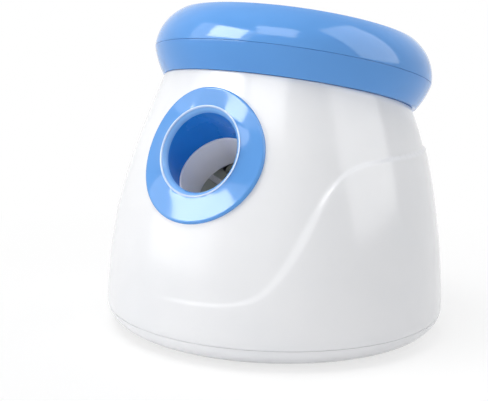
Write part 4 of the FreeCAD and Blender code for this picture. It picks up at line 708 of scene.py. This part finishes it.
def make_port():
    """Flange, bead, rolled lip and bent throat in one closed section; the bead, lip and throat
    take a painted highlight, painted light and painted shade as lighter and deeper copies of the
    blue.
    """
    flange = flange_rings()
    bead = [port_circle(radius, 0.0, out)
            for radius, out in arc((31.8, 0.1), (30.2, -0.35), 0.95, 1, BEAD_STEPS)]
    lip = [port_circle(radius, 0.0, out)
           for radius, out in arc((30.1, -0.5), (27.5, -3.7), 5.0, 1, LIP_STEPS)]
    throat, back = throat_rings(lip[-1])
    rim = ringed_piece("port_rim", flange + bead + lip + throat + back, "case", "blue_gloss",
                       "port_bezel", crease=40.0)
    # painted light on one blue part: a highlight on the bead, a paler lip and a shaded throat
    for tone in ("bead_painted_highlight", "lip_painted_light", "throat_painted_shade"):
        rim.data.materials.append(FINISH[tone])
    bead_row = len(flange)
    lip_row = bead_row + BEAD_STEPS
    throat_row = len(flange) + len(bead) + len(lip) - 1
    end_row = throat_row + len(throat)
    for face in rim.data.polygons:
        row = face.index // len(SPIN)
        if bead_row <= row < end_row:
            face.material_index = 1 + (row >= lip_row) + (row >= throat_row)


make_port()

# the barrel's liner, and a ribbed strip on the trough's left wall, seen through the port
LINER = softened([(26.7, 0.2), (33.0, 0.2), (33.0, 2.4), (28.3, 2.4), (28.3, 27.5), (26.7, 27.5)],
                 0.55)
turned_piece("barrel_sleeve", [LINER], down_barrel(THROAT_END), "case", "light_grey",
             "barrel_liner", around=160)

STRIP = [(-2.3, 0.0), (-2.3, 0.9), (-1.7, 1.2), (-1.2, 0.8), (-0.7, 1.2), (-0.1, 0.8),
         (0.4, 1.2), (1.0, 0.8), (1.5, 1.2), (2.3, 0.9), (2.3, 0.0)]
STRIP_WALL, STRIP_DEPTHS = -28.7, (53.2, 79.5)
STRIP_HEIGHT, STRIP_FROM, STRIP_SLOPE = 13.4, 55.0, 0.27


def guide_strip():
    """The strip's outline as (height, thickness) at both of its ends; it rises inwards."""
    ends = [[in_barrel(STRIP_WALL + proud, depth,
                       STRIP_HEIGHT + (depth - STRIP_FROM) * STRIP_SLOPE + rise)
             for rise, proud in STRIP] for depth in STRIP_DEPTHS]
    count = len(STRIP)
    faces = [(n, (n + 1) % count, count + (n + 1) % count, count + n) for n in range(count)]
    faces += [tuple(range(count)), tuple(range(count, 2 * count))]
    return np.concatenate(ends), faces


piece("guide_strip", *guide_strip(), "case", "light_grey")

# ------------------------------------------------------------------ small parts


def tube_faces(rows, around):
    """Faces along rings of points, with a lid on each end."""
    last = (rows - 1) * around
    return quads(rows, around, closed=False) + [tuple(range(around)),
                                                tuple(range(last, last + around))]


def capped(profile, place, around):
    """A solid of revolution whose outline starts and ends close to its axis."""
    return turned(profile, *place, around=around), tube_faces(len(profile), around)


def many(forms):
    """Several meshes joined into one list of points and faces."""
    verts, faces, count = [], [], 0
    for points, sides in forms:
        verts.append(points)
        faces += [tuple(i + count for i in side) for side in sides]
        count += len(points)
    return np.concatenate(verts), faces


PAD = [(0.3, 0.5), (3.2, 0.5), (3.7, 0.1), (4.2, 0.0), (7.7, 0.0), (8.5, 0.25), (8.9, 0.8),
       (9.0, 1.4), (9.0, 2.7), (0.3, 2.7)]
pads = many([capped(PAD, ((x, y, 0.0), *UPRIGHT), 64)
             for x, y in corners(FOOT_PLACE, FOOT_PLACE)])
piece("foot_pads", *pads, "case", "black_rubber", "rubber_feet")

KEY = [(0.3, -0.55), (2.5, -0.5), (4.6, -0.28), (6.0, 0.0), (6.6, -0.02), (7.1, -0.2),
       (7.4, -0.6), (7.5, -1.1), (7.5, -8.6), (8.8, -8.7), (8.9, -9.9), (2.0, -10.0),
       (2.0, -12.3), (0.3, -12.3)]
for node, body in (("power_button", "power_key"), ("distance_button", "distance_key")):
    low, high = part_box(node)
    spot = ((low[0] + high[0]) / 2 / MM, high[1] / MM, (low[2] + high[2]) / 2 / MM)
    piece(node + "_cap", *capped(KEY, (spot, *REARWARD), 64), body, "light_grey", node)

DOME = [(0.2, 0.0), (0.7, -0.06), (1.2, -0.3), (1.5, -0.75), (1.6, -1.3), (1.6, -5.0),
        (0.2, -5.0)]
LENS_SIDES, LENS_LEVEL = (-6.0, 0.0, 6.0), 79.0
lens_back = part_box("indicator_lenses")[1][1] / MM
lenses = many([capped(DOME, ((x, lens_back, LENS_LEVEL), *REARWARD), 32) for x in LENS_SIDES])
piece("indicator_windows", *lenses, "case", "clear_lens", "indicator_lenses")

# sled springs: side, height and depths in the barrel, coil and wire, all in millimetres
SPRING_SIDE, SPRING_RISE = 36.2, 8.2
SPRING_ENDS, SPRING_FIXED = (48.6, 89.4), (49.8, 88.2)
COIL_RADIUS, COIL_TURNS, COIL_STEPS = 3.4, 13, 20
WIRE_RADIUS, WIRE_SIDES, END_ROOM = 0.55, 8, 1.2


def wound(x):
    """A wound spring along the barrel at one side."""
    steps = COIL_TURNS * COIL_STEPS
    first, last = SPRING_ENDS
    path = []
    for n in range(steps + 1):
        share = n / steps
        spin = TURN * COIL_TURNS * share
        depth = first + END_ROOM + (last - first - 2 * END_ROOM) * share
        path.append(in_barrel(x + COIL_RADIUS * math.cos(spin), depth,
                              SPRING_RISE + COIL_RADIUS * math.sin(spin)))
    path = np.array(path)
    tangents = np.gradient(path, axis=0)
    tangents /= np.linalg.norm(tangents, axis=1)[:, None]
    axis = np.array(LAUNCH)
    out = path - in_barrel(x, 0, SPRING_RISE)
    out -= np.outer(out @ axis, axis)
    out /= np.linalg.norm(out, axis=1)[:, None]
    across = np.cross(tangents, out)
    spin = circle(WIRE_SIDES)
    verts = [spot + WIRE_RADIUS * (np.outer(np.cos(spin), o) + np.outer(np.sin(spin), c))
             for spot, o, c in zip(path, out, across)]
    return np.concatenate(verts), tube_faces(len(path), WIRE_SIDES)


for side, node in ((-1, "sled_spring_left"), (1, "sled_spring_right")):
    x = side * SPRING_SIDE
    coil = linked(node + "_coil", raw_mesh(node + "_coil", *wound(x), "steel"))
    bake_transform(coil)
    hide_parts(node)

# ------------------------------------------------------------------ stage and light

FLOOR_HALF, FLOOR_LEVEL = 3, -0.0002


def seen_rays(nodes, links):
    """One number: 1 where the camera, a mirror or a clear body looks, 0 for plain light."""
    rays = nodes.new("ShaderNodeLightPath").outputs
    result = rays["Is Camera Ray"]
    for kind in ("Is Glossy Ray", "Is Transmission Ray"):
        result = computed(nodes, links, "MAXIMUM", result, rays[kind])
    return result


def floor_finish():
    """White paper that keeps a soft shadow near the object and fades to the backdrop."""
    material, nodes, links, principled = shader("floor_paper", Roughness=0.9,
                                                Specular_IOR_Level=0.1)
    place = nodes.new("ShaderNodeTexCoord").outputs["Object"]
    rays = seen_rays(nodes, links)
    paper = nodes.new("ShaderNodeMix")
    paper.data_type = "RGBA"
    share, lit, seen = paper.inputs[0], paper.inputs[6], paper.inputs[7]
    lit.default_value = (0.75, 0.75, 0.76, 1.0)
    coloured_noise(nodes, links, place, 3.0, 2.0, ((0.90, 0.90, 0.90), (0.92, 0.92, 0.92)), seen)
    links.new(rays, share)
    links.new(paper.outputs[2], principled.inputs["Base Color"])
    reach = nodes.new("ShaderNodeVectorMath")
    reach.operation = "LENGTH"
    links.new(place, reach.inputs[0])
    fade = ranged(nodes, links, reach.outputs["Value"], 0.16, 0.45, 0.70, 1.0)
    glow = nodes.new("ShaderNodeEmission")
    mixed_shaders(nodes, links, computed(nodes, links, "MULTIPLY", rays, fade),
                  principled.outputs["BSDF"], glow.outputs["Emission"],
                  nodes["Material Output"].inputs["Surface"])
    return material


def make_floor():
    """A square of paper just under the feet."""
    mesh = bpy.data.meshes.new("floor")
    mesh.from_pydata([(x * FLOOR_HALF, y * FLOOR_HALF, FLOOR_LEVEL)
                      for x, y in ((-1, -1), (1, -1), (1, 1), (-1, 1))], [], [(0, 1, 2, 3)])
    linked("floor", mesh)
    mesh.materials.append(floor_finish())


def make_world(level):
    """Even light at one level, white where the camera or a mirror looks."""
    world = bpy.data.worlds.new("studio")
    SCENE.world = world
    world.use_nodes = True
    nodes, links = world.node_tree.nodes, world.node_tree.links
    dim, white = nodes["Background"], nodes.new("ShaderNodeBackground")
    for light, strength in ((dim, level), (white, 1.0)):
        light.inputs["Color"].default_value = (1.0, 1.0, 1.0, 1.0)
        light.inputs["Strength"].default_value = strength
    mixed_shaders(nodes, links, seen_rays(nodes, links), dim.outputs["Background"],
                  white.outputs["Background"], nodes["World Output"].inputs["Surface"])


def softbox(name, spot, faced, width, height, power, lights=True):
    """An area lamp facing a height on the axis: it lights surfaces, or shows in their gloss."""
    data = bpy.data.lights.new(name, "AREA")
    data.shape = "RECTANGLE"
    data.size, data.size_y = width, height
    data.energy = power
    lamp = linked(name, data)
    lamp.location = spot
    facing = Vector((0, 0, faced)) - Vector(spot)
    lamp.rotation_euler = facing.to_track_quat("-Z", "Y").to_euler()
    lamp.visible_diffuse = lights
    lamp.visible_glossy = not lights


make_floor()
make_world(0.18)
softbox("left_box", (-1.18, -1.52, 0.56), 0.10, 1.2, 0.9, 15.2)
softbox("left_window", (-0.78, -1.42, 1.17), 0.14, 1.0, 0.72, 24.0, lights=False)
softbox("left_glow", (-1.25, -1.78, 0.9), 0.14, 2.4, 2.2, 31.0, lights=False)
softbox("front_window", (0.35, -1.15, 1.45), 0.14, 0.9, 0.6, 7.0, lights=False)
softbox("right_window", (1.52, 0.42, 1.25), 0.15, 1.5, 2.1, 26.0, lights=False)
softbox("right_box", (1.65, 0.20, 0.6), 0.12, 1.6, 1.1, 4.0)
softbox("top_box", (-0.2, -0.3, 1.8), 0.10, 1.1, 1.1, 21.5)
softbox("front_fill", (0.72, -1.15, 0.35), 0.10, 0.9, 0.9, 4.3)
softbox("back_box", (0.5, 1.55, 0.85), 0.10, 1.1, 0.9, 11.0)

SCENE.view_settings.view_transform = "Standard"
